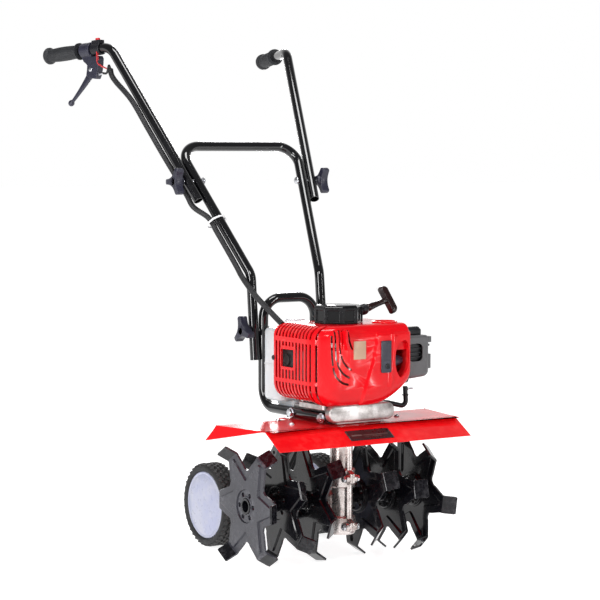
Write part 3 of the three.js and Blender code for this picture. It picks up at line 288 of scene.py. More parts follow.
def pillow(box, corner, top, bottom, spacing=(2, 2, 2), steps=6):
    """Upright block with rounded corners in plan and rounded top and bottom edges."""
    (x_min, x_max), (y_min, y_max), (z_min, z_max) = box["x"], box["y"], box["z"]
    levels = []
    for step in range(steps + 1):
        angle = math.pi / 2 * step / steps
        levels.append((z_min + bottom * (1 - math.sin(angle)), bottom * (1 - math.cos(angle))))
    levels.reverse()
    straight = spacing[2]
    for step in range(1, straight):
        levels.append((z_min + bottom + (z_max - z_min - top - bottom) * step / straight, 0))
    for step in range(steps + 1):
        angle = math.pi / 2 * step / steps
        levels.append((z_max - top * (1 - math.sin(angle)), top * (1 - math.cos(angle))))
    rings = []
    for z, inset in levels:
        radius = max(corner - inset, 0.6)
        ring = even_ring(
            x_min + inset, x_max - inset, y_min + inset, y_max - inset, radius, spacing, steps,
        )
        rings.append([Vector((x, y, z)) for x, y in ring])
    return loft(rings)


def centre_line(corners, bend_radius, steps=12):
    """Corner points with a bend radius become the points of a smooth centre line."""
    points = [corners[0].copy()]
    for index in range(1, len(corners) - 1):
        back = (corners[index - 1] - corners[index]).normalized()
        ahead = (corners[index + 1] - corners[index]).normalized()
        half = back.angle(ahead) / 2
        reach = bend_radius / math.tan(half)
        centre = (back + ahead).normalized() * (bend_radius / math.sin(half))
        start = back * reach - centre
        end = ahead * reach - centre
        normal = start.cross(end).normalized()
        sweep = start.angle(end)
        for step in range(steps + 1):
            spoke = Matrix.Rotation(sweep * step / steps, 3, normal) @ start
            points.append(corners[index] + centre + spoke)
    points.append(corners[-1].copy())
    return points


def smooth_line(points, steps=8):
    """A Catmull-Rom curve through the points."""
    line = []
    last = len(points) - 1
    for index in range(last):
        before = points[max(index - 1, 0)]
        here, there = points[index], points[index + 1]
        after = points[min(index + 2, last)]
        for step in range(steps):
            t = step / steps
            line.append(
                0.5 * (
                    2 * here + (there - before) * t
                    + (2 * before - 5 * here + 4 * there - after) * t * t
                    + (3 * here - before - 3 * there + after) * t * t * t
                )
            )
    line.append(points[-1].copy())
    return line


def tube(points, radius, sides=28):
    """Round bar along a line. radius may be a number or a function of the share of the way along."""
    rings = []
    up = None
    last = len(points) - 1
    for index, point in enumerate(points):
        ahead = points[min(index + 1, last)] - points[max(index - 1, 0)]
        ahead.normalize()
        if up is None:
            up = ahead.orthogonal().normalized()
        else:
            up = (up - ahead * up.dot(ahead)).normalized()
        across = ahead.cross(up)
        size = radius(index / last) if callable(radius) else radius
        ring = []
        for step in range(sides):
            angle = 2 * math.pi * step / sides
            ring.append(point + up * (size * math.cos(angle)) + across * (size * math.sin(angle)))
        rings.append(ring)
    return loft(rings)


def moved(obj, matrix):
    obj.data.transform(matrix)
    if matrix.determinant() < 0:
        obj.data.flip_normals()
    return obj


def mirrored(obj, sign):
    return moved(obj, Matrix.Diagonal((sign, 1, 1, 1))) if sign < 0 else obj


def merged(*objs):
    """One object holding all of these shapes side by side, with no boolean."""
    work = bmesh.new()
    for obj in objs:
        work.from_mesh(obj.data)
    target = objs[0]
    work.to_mesh(target.data)
    work.free()
    for obj in objs[1:]:
        bpy.data.objects.remove(obj)
    return target


def combined(target, others, operation):
    for other in others:
        modifier = target.modifiers.new("combine", "BOOLEAN")
        modifier.operation = operation
        modifier.solver = "EXACT"
        modifier.object = other
    graph = bpy.context.evaluated_depsgraph_get()
    mesh = bpy.data.meshes.new_from_object(target.evaluated_get(graph))
    target.modifiers.clear()
    target.data = mesh
    for other in others:
        bpy.data.objects.remove(other)
    return target


def joined(target, *others):
    return combined(target, others, "UNION")


def cut(target, *cutters):
    return combined(target, cutters, "DIFFERENCE")


def cut_apart(target, cutters):
    """Cuts with many cutters that don't touch each other, in one go."""
    return combined(target, [merged(*cutters)], "DIFFERENCE")


def reshape(obj, change):
    """Moves each corner point of a shape by a function of its place."""
    for vertex in obj.data.vertices:
        vertex.co = change(vertex.co.copy())
    obj.data.update()
    return obj


SHARP_ANGLE = math.radians(32)


def piece(obj, name, body, finish, replaces=(), bevel=0.5, segments=2):
    """A finished shape: carried to the row frame, given soft edges and a material, and tied to its body."""
    work = bmesh.new()
    work.from_mesh(obj.data)
    bmesh.ops.remove_doubles(work, verts=work.verts, dist=1e-4)
    bmesh.ops.dissolve_limit(work, angle_limit=math.radians(0.3), verts=work.verts, edges=work.edges)
    work.to_mesh(obj.data)
    work.free()
    obj.data.transform(TO_ROW)
    obj.name = name
    obj.data.name = name
    obj.data.materials.clear()
    obj.data.materials.append(FINISHES[finish])
    obj.data.shade_smooth()
    obj.data.set_sharp_from_angle(angle=SHARP_ANGLE)
    if bevel > 0:
        modifier = obj.modifiers.new("soft edges", "BEVEL")
        modifier.width = bevel * MM
        modifier.segments = segments
        modifier.limit_method = "ANGLE"
        modifier.angle_limit = SHARP_ANGLE
        modifier.harden_normals = True
        modifier.use_clamp_overlap = False
        modifier.miter_outer = "MITER_ARC"
    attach(obj, body)
    if replaces:
        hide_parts(*replaces)
    return obj


# ---------------------------------------------------------------- materials


class Nodes:
    """Short hand for building one material's node tree."""

    def __init__(self, name):
        self.material = bpy.data.materials.new(name)
        self.material.use_nodes = True
        self.tree = self.material.node_tree
        self.shader = self.tree.nodes["Principled BSDF"]
        self.place = self.tree.nodes.new("ShaderNodeTexCoord").outputs["Object"]

    def link(self, source, target):
        self.tree.links.new(source, target)

    def stretched(self, scale):
        mapping = self.tree.nodes.new("ShaderNodeMapping")
        mapping.inputs["Scale"].default_value = scale
        self.link(self.place, mapping.inputs["Vector"])
        return mapping.outputs["Vector"]

    def noise(self, scale, detail=4.0, roughness=0.55, vector=None):
        node = self.tree.nodes.new("ShaderNodeTexNoise")
        node.inputs["Scale"].default_value = scale
        node.inputs["Detail"].default_value = detail
        node.inputs["Roughness"].default_value = roughness
        self.link(vector or self.place, node.inputs["Vector"])
        return node.outputs["Fac"]

    def cells(self, scale):
        node = self.tree.nodes.new("ShaderNodeTexVoronoi")
        node.inputs["Scale"].default_value = scale
        self.link(self.place, node.inputs["Vector"])
        return node.outputs["Distance"]

    def spread(self, value, low, high, out_low=0.0, out_high=1.0):
        node = self.tree.nodes.new("ShaderNodeMapRange")
        node.inputs["From Min"].default_value = low
        node.inputs["From Max"].default_value = high
        node.inputs["To Min"].default_value = out_low
        node.inputs["To Max"].default_value = out_high
        self.link(value, node.inputs["Value"])
        return node.outputs["Result"]

    def times(self, first, second):
        node = self.tree.nodes.new("ShaderNodeMath")
        node.operation = "MULTIPLY"
        self.link(first, node.inputs[0])
        self.link(second, node.inputs[1])
        return node.outputs["Value"]

    def blended(self, share, first, second):
        node = self.tree.nodes.new("ShaderNodeMix")
        node.data_type = "RGBA"
        self.link(share, node.inputs["Factor"])
        for colour, socket in ((first, node.inputs["A"]), (second, node.inputs["B"])):
            if isinstance(colour, tuple):
                socket.default_value = (*colour, 1)
            else:
                self.link(colour, socket)
        return node.outputs["Result"]

    def edges(self):
        """How sharp an outer edge the surface has, for lighter edges of worn coat and of painted edge
        highlights.
        """
        node = self.tree.nodes.new("ShaderNodeNewGeometry")
        return self.spread(node.outputs["Pointiness"], 0.52, 0.62)

    def bumped(self, height, strength, distance):
        node = self.tree.nodes.new("ShaderNodeBump")
        node.inputs["Strength"].default_value = strength
        node.inputs["Distance"].default_value = distance * MM
        self.link(height, node.inputs["Height"])
        previous = self.shader.inputs["Normal"].links
        if previous:
            self.link(previous[0].from_socket, node.inputs["Normal"])
        self.link(node.outputs["Normal"], self.shader.inputs["Normal"])


def shade(colour, factor):
    return tuple(min(channel * factor, 1.0) for channel in colour)


def finish_of(
    name, colour, rough, metallic=0.0, coat=0.0, variation=0.12, variation_scale=35.0,
    grain=0.1, grain_scale=900.0, grain_depth=0.15, edge_wear_and_highlight=None, edge_wear_and_highlight_share=0.5, specular=0.5,
):
    """A surface with mottled colour, uneven gloss, fine grain and, where asked, lighter edges: worn coat,
    and on the tine coats also painted edge highlights.
    """
    nodes = Nodes(name)
    shader = nodes.shader
    cloud = nodes.spread(nodes.noise(variation_scale, 5.0), 0.3, 0.7)
    base = nodes.blended(cloud, shade(colour, 1 - variation), shade(colour, 1 + variation))
    # Lighter edges: worn coat, and on the tine coats also painted edge highlights.
    if edge_wear_and_highlight:
        patchy = nodes.spread(nodes.noise(variation_scale * 5, 6.0), 0.42, 0.66)
        mask = nodes.times(nodes.times(nodes.edges(), patchy), nodes.spread(cloud, 0, 1, edge_wear_and_highlight_share, 1))
        base = nodes.blended(mask, base, edge_wear_and_highlight)
    nodes.link(base, shader.inputs["Base Color"])
    gloss = nodes.spread(nodes.noise(variation_scale * 3, 4.0), 0.3, 0.7, rough * 0.8, rough * 1.25)
    nodes.link(gloss, shader.inputs["Roughness"])
    shader.inputs["Metallic"].default_value = metallic
    shader.inputs["Coat Weight"].default_value = coat
    shader.inputs["Coat Roughness"].default_value = 0.06
    shader.inputs["Specular IOR Level"].default_value = specular
    nodes.bumped(nodes.noise(grain_scale, 3.0), grain, grain_depth)
    return nodes


def cast_metal(name, colour, dark, rough, blotch_scale=28.0, contrast=(0.38, 0.62)):
    """Cast alloy: pale skin with darker blotches, fine pits and a sandy grain."""
    nodes = finish_of(
        name, colour, rough, metallic=0.85, variation=0.08, grain=0.35, grain_scale=420.0,
        grain_depth=0.35, edge_wear_and_highlight=shade(colour, 1.25),
    )
    blotches = nodes.spread(nodes.noise(blotch_scale, 8.0, 0.7), *contrast)
    base = nodes.shader.inputs["Base Color"].links[0].from_socket
    nodes.link(nodes.blended(blotches, dark, base), nodes.shader.inputs["Base Color"])
    nodes.bumped(nodes.cells(260.0), 0.18, 0.4)
    return nodes


def brushed(name, colour, rough, stretch=(1, 1, 1), scale=600.0):
    """Machined or plated metal with fine scratches along one direction."""
    nodes = finish_of(
        name, colour, rough, metallic=1.0, variation=0.06, grain=0.05, edge_wear_and_highlight=shade(colour, 1.2),
    )
    lines = nodes.noise(scale, 3.0, 0.6, nodes.stretched(stretch))
    nodes.bumped(lines, 0.12, 0.08)
    return nodes


def cap_finish():
    """Thin white cover of a wheel: faint bluish mottling under a soft gloss."""
    nodes = finish_of(
        "wheel cap", (0.42, 0.43, 0.52), 0.3, coat=0.25, variation=0.02, grain=0.08, grain_scale=300.0,
    )
    cloud = nodes.spread(nodes.noise(38.0, 6.0, 0.65), 0.38, 0.64)
    base = nodes.shader.inputs["Base Color"].links[0].from_socket
    tinted = nodes.blended(cloud, (0.34, 0.36, 0.5), base)
    nodes.link(tinted, nodes.shader.inputs["Base Color"])
    nodes.bumped(nodes.noise(60.0, 3.0), 0.1, 0.6)
    return nodes


def tank_finish():
    """Milky plastic that lets some light through."""
    nodes = finish_of(
        "tank plastic", (0.6, 0.62, 0.65), 0.32, variation=0.04, grain=0.15, grain_scale=400.0,
    )
    shader = nodes.shader
    shader.inputs["Subsurface Weight"].default_value = 0.4
    shader.inputs["Subsurface Radius"].default_value = (0.02, 0.025, 0.03)
    shader.inputs["Subsurface Scale"].default_value = 0.5
    return nodes


# Every finish of the machine by name, with the material slot it belongs to.
FINISH_TABLE = {
    "red": (
        "red_paint",
        finish_of(
            "red paint", (0.83, 0.006, 0.01), 0.2, coat=0.12, variation=0.07, variation_scale=12.0,
            grain=0.05, grain_scale=260.0, grain_depth=0.12, edge_wear_and_highlight=(0.95, 0.12, 0.1), edge_wear_and_highlight_share=0.15,
            specular=0.16,
        ),
    ),
    "red_cover": (
        "red_plastic",
        finish_of(
            "red plastic", (0.7, 0.003, 0.008), 0.16, coat=0.22, variation=0.06, variation_scale=14.0,
            grain=0.04, grain_scale=320.0, grain_depth=0.1, edge_wear_and_highlight=(0.95, 0.08, 0.07), edge_wear_and_highlight_share=0.1,
            specular=0.16,
        ),
    ),
    "gloss_black": (
        "black_paint",
        finish_of(
            "black paint", (0.003, 0.003, 0.004), 0.09, coat=0.5, variation=0.25, variation_scale=20.0,
            grain=0.04, grain_scale=300.0, grain_depth=0.08, edge_wear_and_highlight=(0.06, 0.06, 0.07), edge_wear_and_highlight_share=0.15,
            specular=0.45,
        ),
    ),
    # Lighter grey copy of the black tine coat, used only on the near disc's plate: painted light. Its light
    # edges are partly worn coat and partly painted edge highlights.
    "tine": (
        "tine_black",
        finish_of(
            "tine coat with painted light", (0.032, 0.032, 0.042), 0.3, metallic=0.2, coat=0.15, variation=0.12,
            variation_scale=26.0, grain=0.1, grain_scale=520.0, grain_depth=0.1, edge_wear_and_highlight=(0.42, 0.42, 0.46),
            edge_wear_and_highlight_share=0.3, specular=0.4,
        ),
    ),
    # The black tine coat, also laid on the near disc's bent tips as painted shade. Its lighter edges are
    # partly worn coat and partly painted edge highlights.
    "tine_gloss": (
        "tine_black",
        finish_of(
            "tine gloss", (0.004, 0.004, 0.006), 0.13, metallic=0.05, coat=0.2, variation=0.2,
            variation_scale=26.0, grain=0.05, grain_scale=420.0, grain_depth=0.08,
            edge_wear_and_highlight=(0.12, 0.12, 0.13), edge_wear_and_highlight_share=0.15, specular=0.25,
        ),
    ),
    "black_plastic": (
        "black_plastic",
        finish_of(
            "black plastic", (0.01, 0.01, 0.013), 0.34, variation=0.2, grain=0.22, grain_scale=1400.0,
            edge_wear_and_highlight=(0.1, 0.1, 0.11), edge_wear_and_highlight_share=0.3, specular=0.3,
        ),
    ),
    "grey_plastic": (
        "grey_plastic",
        finish_of(
            "grey plastic", (0.1, 0.099, 0.104), 0.42, variation=0.12, grain=0.2, grain_scale=1200.0,
            edge_wear_and_highlight=(0.3, 0.3, 0.31), edge_wear_and_highlight_share=0.35,
        ),
    ),
    "starter_plastic": (
        "black_plastic",
        finish_of(
            "starter plastic", (0.004, 0.004, 0.005), 0.13, coat=0.12, variation=0.18, grain=0.12,
            grain_scale=1100.0, edge_wear_and_highlight=(0.1, 0.1, 0.11), edge_wear_and_highlight_share=0.15, specular=0.2,
        ),
    ),
    "blue_plastic": (
        "blue_plastic",
        finish_of(
            "slate plastic", (0.018, 0.018, 0.034), 0.36, variation=0.16, grain=0.25, grain_scale=1300.0,
            edge_wear_and_highlight=(0.1, 0.1, 0.14), edge_wear_and_highlight_share=0.3,
        ),
    ),
    "grip_brown": (
        "black_plastic",
        finish_of(
            "pull plastic", (0.014, 0.004, 0.004), 0.24, coat=0.25, variation=0.2, grain=0.12,
            grain_scale=1100.0, edge_wear_and_highlight=(0.12, 0.07, 0.07), edge_wear_and_highlight_share=0.25, specular=0.3,
        ),
    ),
    "rubber": (
        "black_rubber",
        finish_of(
            "grip rubber", (0.016, 0.017, 0.02), 0.55, variation=0.2, grain=0.35, grain_scale=1500.0,
            grain_depth=0.2, specular=0.4,
        ),
    ),
    "sleeve": (
        "black_rubber",
        finish_of(
            "loom sleeve", (0.014, 0.014, 0.016), 0.48, variation=0.2, grain=0.3, grain_scale=1500.0,
            grain_depth=0.2, specular=0.4,
        ),
    ),
    "tyre": (
        "tyre_rubber",
        finish_of(
            "tyre rubber", (0.02, 0.02, 0.021), 0.6, variation=0.3, variation_scale=60.0, grain=0.4,
            grain_scale=1100.0, grain_depth=0.3, edge_wear_and_highlight=(0.075, 0.072, 0.07), edge_wear_and_highlight_share=0.6, specular=0.35,
        ),
    ),
    "steel": ("steel", brushed("zinc plated steel", (0.62, 0.63, 0.66), 0.26)),
    "shaft_steel": (
        "steel", brushed("shaft steel", (0.5, 0.5, 0.52), 0.24, stretch=(1, 30, 30), scale=160.0),
    ),
    "dark_steel": (
        "dark_steel",
        finish_of(
            "muffler steel", (0.09, 0.085, 0.085), 0.5, metallic=0.9, variation=0.35, grain=0.3,
            grain_scale=500.0, edge_wear_and_highlight=(0.3, 0.28, 0.26), edge_wear_and_highlight_share=0.5,
        ),
    ),
    "brass": ("brass", brushed("brass", (0.62, 0.43, 0.17), 0.3)),
    "aluminium": (
        "cast_aluminium", cast_metal("cast aluminium", (0.72, 0.69, 0.68), (0.36, 0.33, 0.32), 0.34),
    ),
    "column": (
        "gear_casting",
        cast_metal(
            "gearbox casting", (0.85, 0.79, 0.77), (0.3, 0.24, 0.22), 0.27, blotch_scale=16.0,
            contrast=(0.36, 0.6),
        ),
    ),
    "white": (
        "white_plastic",
        finish_of(
            "white plastic", (0.86, 0.86, 0.88), 0.36, variation=0.03, grain=0.1, grain_scale=900.0,
        ),
    ),
    "cord": (
        "white_plastic",
        finish_of(
            "braided cord", (0.55, 0.54, 0.5), 0.7, variation=0.15, grain=0.6, grain_scale=1500.0,
            grain_depth=0.4,
        ),
    ),
    "button": (
        "red_button",
        finish_of("red button", (0.55, 0.012, 0.02), 0.34, variation=0.08, grain=0.1, grain_scale=1200.0),
    ),
    "plaque": (
        "white_plastic",
        finish_of(
            "cream plaque", (0.52, 0.33, 0.22), 0.4, coat=0.1, variation=0.05, grain=0.05,
            grain_scale=900.0,
        ),
    ),
    "screen": (
        "black_plastic",
        finish_of(
            "plate print", (0.014, 0.005, 0.006), 0.3, coat=0.3, variation=0.3, grain=0.08,
            grain_scale=900.0,
        ),
    ),
    "stripe": (
        "black_plastic",
        finish_of("plate stripe", (0.12, 0.07, 0.065), 0.4, variation=0.3, grain=0.08, grain_scale=900.0),
    ),
    # Near-black sheet inside the engine cover, in the cover's own red plastic slot: painted shade for the
    # dark inside seen through the slots.
    "painted_shade": (
        "red_plastic",
        finish_of(
            "cover painted shade", (0.004, 0.003, 0.003), 0.8, variation=0.3, grain=0.3, grain_scale=700.0,
            grain_depth=0.3, specular=0.1,
        ),
    ),
    "wire": (
        "red_button",
        finish_of("red wire", (0.5, 0.015, 0.02), 0.35, variation=0.08, grain=0.1, grain_scale=1200.0),
    ),
    "cap": ("white_plastic", cap_finish()), "tank": ("tank_plastic", tank_finish()),
}
FINISHES = {key: nodes.material for key, (_, nodes) in FINISH_TABLE.items()}


# ---------------------------------------------------------------- fasteners

THREAD_PITCH = 1.2


def hex_head(axis, across, low, high, at, face=1):
    """Hexagonal head or nut, its corners turned off at its high face, or with -1 at its low one."""
    radius = across / math.sqrt(3)
    chamfer = 0.8
    body = rod(axis, radius, low, high, at, segments=6)
    wide, narrow = radius * 1.2, radius - chamfer * 1.6
    if face > 0:
        profile = [(0, low - 1), (wide, low - 1), (wide, high - chamfer), (narrow, high), (0, high)]
    else:
        profile = [(0, low), (narrow, low), (wide, low + chamfer), (wide, high + 1), (0, high + 1)]
    return combined(body, [lathe(axis, profile, at)], "INTERSECT")


def washer(axis, radius, hole, low, high, at):
    return lathe(axis, [(hole, low), (radius, low), (radius, high), (hole, high)], at)


def threaded(axis, radius, low, high, at):
    """Bolt shank with rings of thread along it."""
    profile = [(0, low)]
    count = max(1, int((high - low) / THREAD_PITCH))
    step = (high - low) / count
    for turn in range(count):
        start = low + turn * step
        profile.append((radius - 0.45, start + step * 0.05))
        profile.append((radius, start + step * 0.5))
    profile.append((radius - 0.5, high))
    profile.append((0, high))
    return lathe(axis, profile, at, 32)


# ---------------------------------------------------------------- tines

WORM_TEETH = 16
ARM_COUNT = 6
ARM_HALF_ANGLE = 10.3
DISC_BEND_RADIUS = 96
DISC_VALLEY_RADIUS = 66
VALLEY_ROUND = 12
DISC_PLATE = 4
EMBOSS_RISE = 3
FLAP_LENGTH = 28
FLAP_ANGLE = 54
FLAP_BEND_RADIUS = 6.0
HUB_HOLE = 15.6
HUB_BOLT_RING = 23
HUB_BOLT_HOLE = 4.4
HUB_BOLTS = 6
DISC_STATIONS = (187, 120.5, 56)
DISC_PHASES = {"right": (30, 50, 8.5), "left": (20, 40, 51.5)}
RANKS = ("outer", "middle", "inner")


def polar(radius, degrees):
    """(Y, Z) of a point on a disc: the angle is measured from straight up towards the rear."""
    angle = math.radians(degrees)
    return (radius * math.sin(angle), radius * math.cos(angle))


def star_outline():
    """Rim of the disc, with straight arms and round valleys between them."""
    pitch = 360 / ARM_COUNT
    points = []
    for arm in range(ARM_COUNT):
        centre = arm * pitch
        points.append(polar(DISC_BEND_RADIUS, centre - ARM_HALF_ANGLE))
        points.append(polar(DISC_BEND_RADIUS, centre + ARM_HALF_ANGLE))
        valley = polar(DISC_VALLEY_RADIUS + VALLEY_ROUND, centre + pitch / 2)
        for step in range(9):
            around = polar(VALLEY_ROUND, centre + pitch / 2 + 242 - step / 8 * 124)
            points.append((valley[0] + around[0], valley[1] + around[1]))
    return points


def emboss_outline(grow):
    """Six-pointed panel pressed up from the disc. grow widens it, for the foot of its slope."""
    pitch = 360 / ARM_COUNT
    points = []
    for arm in range(ARM_COUNT):
        centre = arm * pitch
        points.append(polar(90.5 + grow, centre - 1.6 - grow * 0.5))
        points.append(polar(90.5 + grow, centre + 1.6 + grow * 0.5))
        apex = polar(51 + grow * 1.7, centre + pitch / 2)
        for step in range(5):
            around = polar(5, centre + pitch / 2 + 180 - (step / 4 - 0.5) * 70)
            points.append((apex[0] + around[0], apex[1] + around[1]))
    return points


def disc_sheet():
    """The flat disc as one open sheet: its points, its faces, and the loops of rim, star, seat and holes."""
    holes = [arc((0, 0), HUB_HOLE, 0, 360, 40)[:-1]]
    for hole in range(HUB_BOLTS):
        centre = polar(HUB_BOLT_RING, hole * 360 / HUB_BOLTS)
        holes.append(arc(centre, HUB_BOLT_HOLE, 0, 360, 18)[:-1])
    seat = [arc((0, 0), radius, 0, 360, 60)[:-1] for radius in (32.6, 31.6)]
    loops = [star_outline(), emboss_outline(1.5), emboss_outline(0), *seat, *holes]
    points, edges = [], []
    for loop in loops:
        start = len(points)
        points += [Vector(point) for point in loop]
        edges += [(start + i, start + (i + 1) % len(loop)) for i in range(len(loop))]
    found, _, faces, _, _, _ = delaunay_2d_cdt(points, edges, [], 0, 1e-5)
    return found, faces, loops


def grown(loop, amount):
    """A closed outline about the origin, pushed outwards."""
    return [(Vector(point) * (1 + amount / Vector(point).length)).to_tuple() for point in loop]


def inside(point, loop):
    """Whether a point of the plane lies within a closed outline."""
    within = False
    for index in range(len(loop)):
        ay, az = loop[index - 1]
        by, bz = loop[index]
        if (az > point[1]) != (bz > point[1]):
            if point[0] < (by - ay) * (point[1] - az) / (bz - az) + ay:
                within = not within
    return within


def tine_disc(sign):
    """One pressed disc about the axle: plate, raised star, hub ring with its bolt holes, and bent tips."""
    found, faces, loops = disc_sheet()
    rim, panel, seat, holes = loops[0], loops[2], loops[4], loops[5:]
    panel = grown(panel, 0.05)
    seat = grown(seat, 0.05)
    work = bmesh.new()
    verts = []
    for point in found:
        raised = inside(point, panel) and not inside(point, seat)
        verts.append(work.verts.new((EMBOSS_RISE if raised else 0, point[0], point[1])))
    for face in faces:
        centre = sum((found[i] for i in face), Vector((0, 0))) / len(face)
        if inside(centre, rim) and not any(inside(centre, hole) for hole in holes):
            work.faces.new([verts[i] for i in face])
    for vert in [v for v in work.verts if not v.link_faces]:
        work.verts.remove(vert)
    work.normal_update()
    for arm in range(ARM_COUNT):
        bend_tip(work, arm, 1 if arm % 2 == 0 else -1)
    bmesh.ops.recalc_face_normals(work, faces=work.faces)
    mesh = bpy.data.meshes.new("shape")
    work.to_mesh(mesh)
    work.free()
    disc = bpy.data.objects.new("shape", mesh)
    bpy.context.scene.collection.objects.link(disc)
    thick = disc.modifiers.new("thickness", "SOLIDIFY")
    thick.thickness = DISC_PLATE
    thick.offset = 0
    thick.use_even_offset = True
    graph = bpy.context.evaluated_depsgraph_get()
    disc.data = bpy.data.meshes.new_from_object(disc.evaluated_get(graph))
    disc.modifiers.clear()
    hub = lathe(
        "x",
        [
            (HUB_HOLE, -5), (28.5, -5), (30.6, -3.6), (30.6, 1.4), (30, 2.6), (19, 2.6), (18.2, 3.4),
            (HUB_HOLE, 3.4),
        ],
    )
    bores = [
        rod("x", HUB_BOLT_HOLE, -8, 8, (0, *polar(HUB_BOLT_RING, hole * 360 / HUB_BOLTS)), 28)
        for hole in range(HUB_BOLTS)
    ]
    hub = cut_apart(hub, bores)
    disc = merged(disc, hub)
    return mirrored(disc, sign)


def bend_tip(work, arm, outward):
    """Carries the end of one arm round a bend and out to a slanted cutting tip."""
    centre = math.radians(arm * 360 / ARM_COUNT)
    along = Vector((0, math.sin(centre), math.cos(centre)))
    edge = None
    for candidate in work.edges:
        if len(candidate.link_faces) != 1:
            continue
        mid = (candidate.verts[0].co + candidate.verts[1].co) / 2
        if (mid.yz - (along * DISC_BEND_RADIUS * math.cos(math.radians(ARM_HALF_ANGLE))).yz).length < 1.0:
            edge = candidate
    steps = 4
    bend = math.radians(FLAP_ANGLE)
    edges = [edge]
    for step in range(steps + 2):
        if step < steps:
            angle = bend * (step + 0.5) / steps
            length = FLAP_BEND_RADIUS * bend / steps
        else:
            angle = bend
            length = (FLAP_LENGTH - 8) if step == steps else 3.5
        shift = along * (length * math.cos(angle)) + Vector((outward * length * math.sin(angle), 0, 0))
        made = bmesh.ops.extrude_edge_only(work, edges=edges)
        verts = [item for item in made["geom"] if isinstance(item, bmesh.types.BMVert)]
        edges = [
            item for item in made["geom"]
            if isinstance(item, bmesh.types.BMEdge) and all(v in verts for v in item.verts)
        ]
        for vert in verts:
            vert.co += shift
        if step == steps + 1:
            side = Vector((0, math.cos(centre), -math.sin(centre)))
            for vert in verts:
                vert.co -= side * (1.5 * (1 if (vert.co.dot(side) > 0) else -1))


def paint_tip_shade(disc, station):
    """The bent tips get the glossier, darker black coat than the plate: painted shade where they face away
    from the light.
    """
    disc.data.materials.append(FINISHES["tine_gloss"])
    for face in disc.data.polygons:
        if abs(face.center.x - station * MM) > 6.5 * MM:
            face.material_index = 1


def make_tines():
    axle = joined(
        rod("x", 10, -168, 168, TINE_AXLE, 48, chamfer=1.2),
        rod("x", 3.2, -169, -167, TINE_AXLE, 24),
    )
    piece(axle, "tine_axle_shaft", "tines", "shaft_steel", ["tine_axle"])
    for side, sign in SIDES:
        barrel = lathe("x", [
            (10.7, 34), (15, 34), (15, 62), (16.6, 62.6), (16.6, 66), (15, 66.6), (15, 112), (16.6, 112.6),
            (16.6, 114.8), (15, 115.4), (15, 191), (14.4, 192), (10.7, 192),
        ], TINE_AXLE)
        bore = rod("z", 3, TINE_AXLE_HEIGHT - 20, TINE_AXLE_HEIGHT + 20, (90, 0, 0), 24)
        barrel = cut(barrel, bore)
        piece(mirrored(barrel, sign), f"hub_barrel_{side}", "tines", "tine_gloss", [f"hub_tube_{side}"])
        pin = rod("z", 2.7, TINE_AXLE_HEIGHT - 17.5, TINE_AXLE_HEIGHT + 17.5, (sign * 90, 0, 0), 24, 0.5)
        piece(pin, f"hub_pin_{side}", "tines", "steel", bevel=0)
        for rank, station, phase in zip(RANKS, DISC_STATIONS, DISC_PHASES[side]):
            place = (
                Matrix.Translation((sign * station, 0, TINE_AXLE_HEIGHT))
                @ Matrix.Rotation(math.radians(-phase), 4, "X")
            )
            # The near disc's plate takes the lighter tine coat: painted light.
            near = side == "right" and rank == "outer"
            disc = piece(
                moved(tine_disc(sign), place), f"tine_{side}_{rank}", "tines",
                "tine" if near else "tine_gloss", [f"tine_disc_{side}_{rank}"], bevel=0.45,
            )
            # The near disc's bent tips take the darker coat: painted shade.
            if near:
                paint_tip_shade(disc, sign * station)


def make_worm_wheel():
    outline = []
    for tooth in range(WORM_TEETH):
        for radius, share in ((17.6, -0.35), (21.4, -0.17), (21.4, 0.17), (17.6, 0.35)):
            outline.append(polar(radius, (tooth + share) * 360 / WORM_TEETH))
    wheel = plate("x", outline, -6, 6)
    wheel = cut(
        moved(wheel, Matrix.Translation(TINE_AXLE)), rod("x", 10.3, -10, 10, TINE_AXLE),
        washer("x", 16, 13, 4.5, 8, TINE_AXLE), washer("x", 16, 13, -8, -4.5, TINE_AXLE),
    )
    piece(wheel, "bronze_wheel", "tines", "brass", ["worm_wheel"], bevel=0.3)


# ---------------------------------------------------------------- gearbox

CASE_BOLTS = {"lower": 68, "upper": 158}
CASE_BOLT_Y = COLUMN_Y - 29
WORM_RADIUS = 7.2


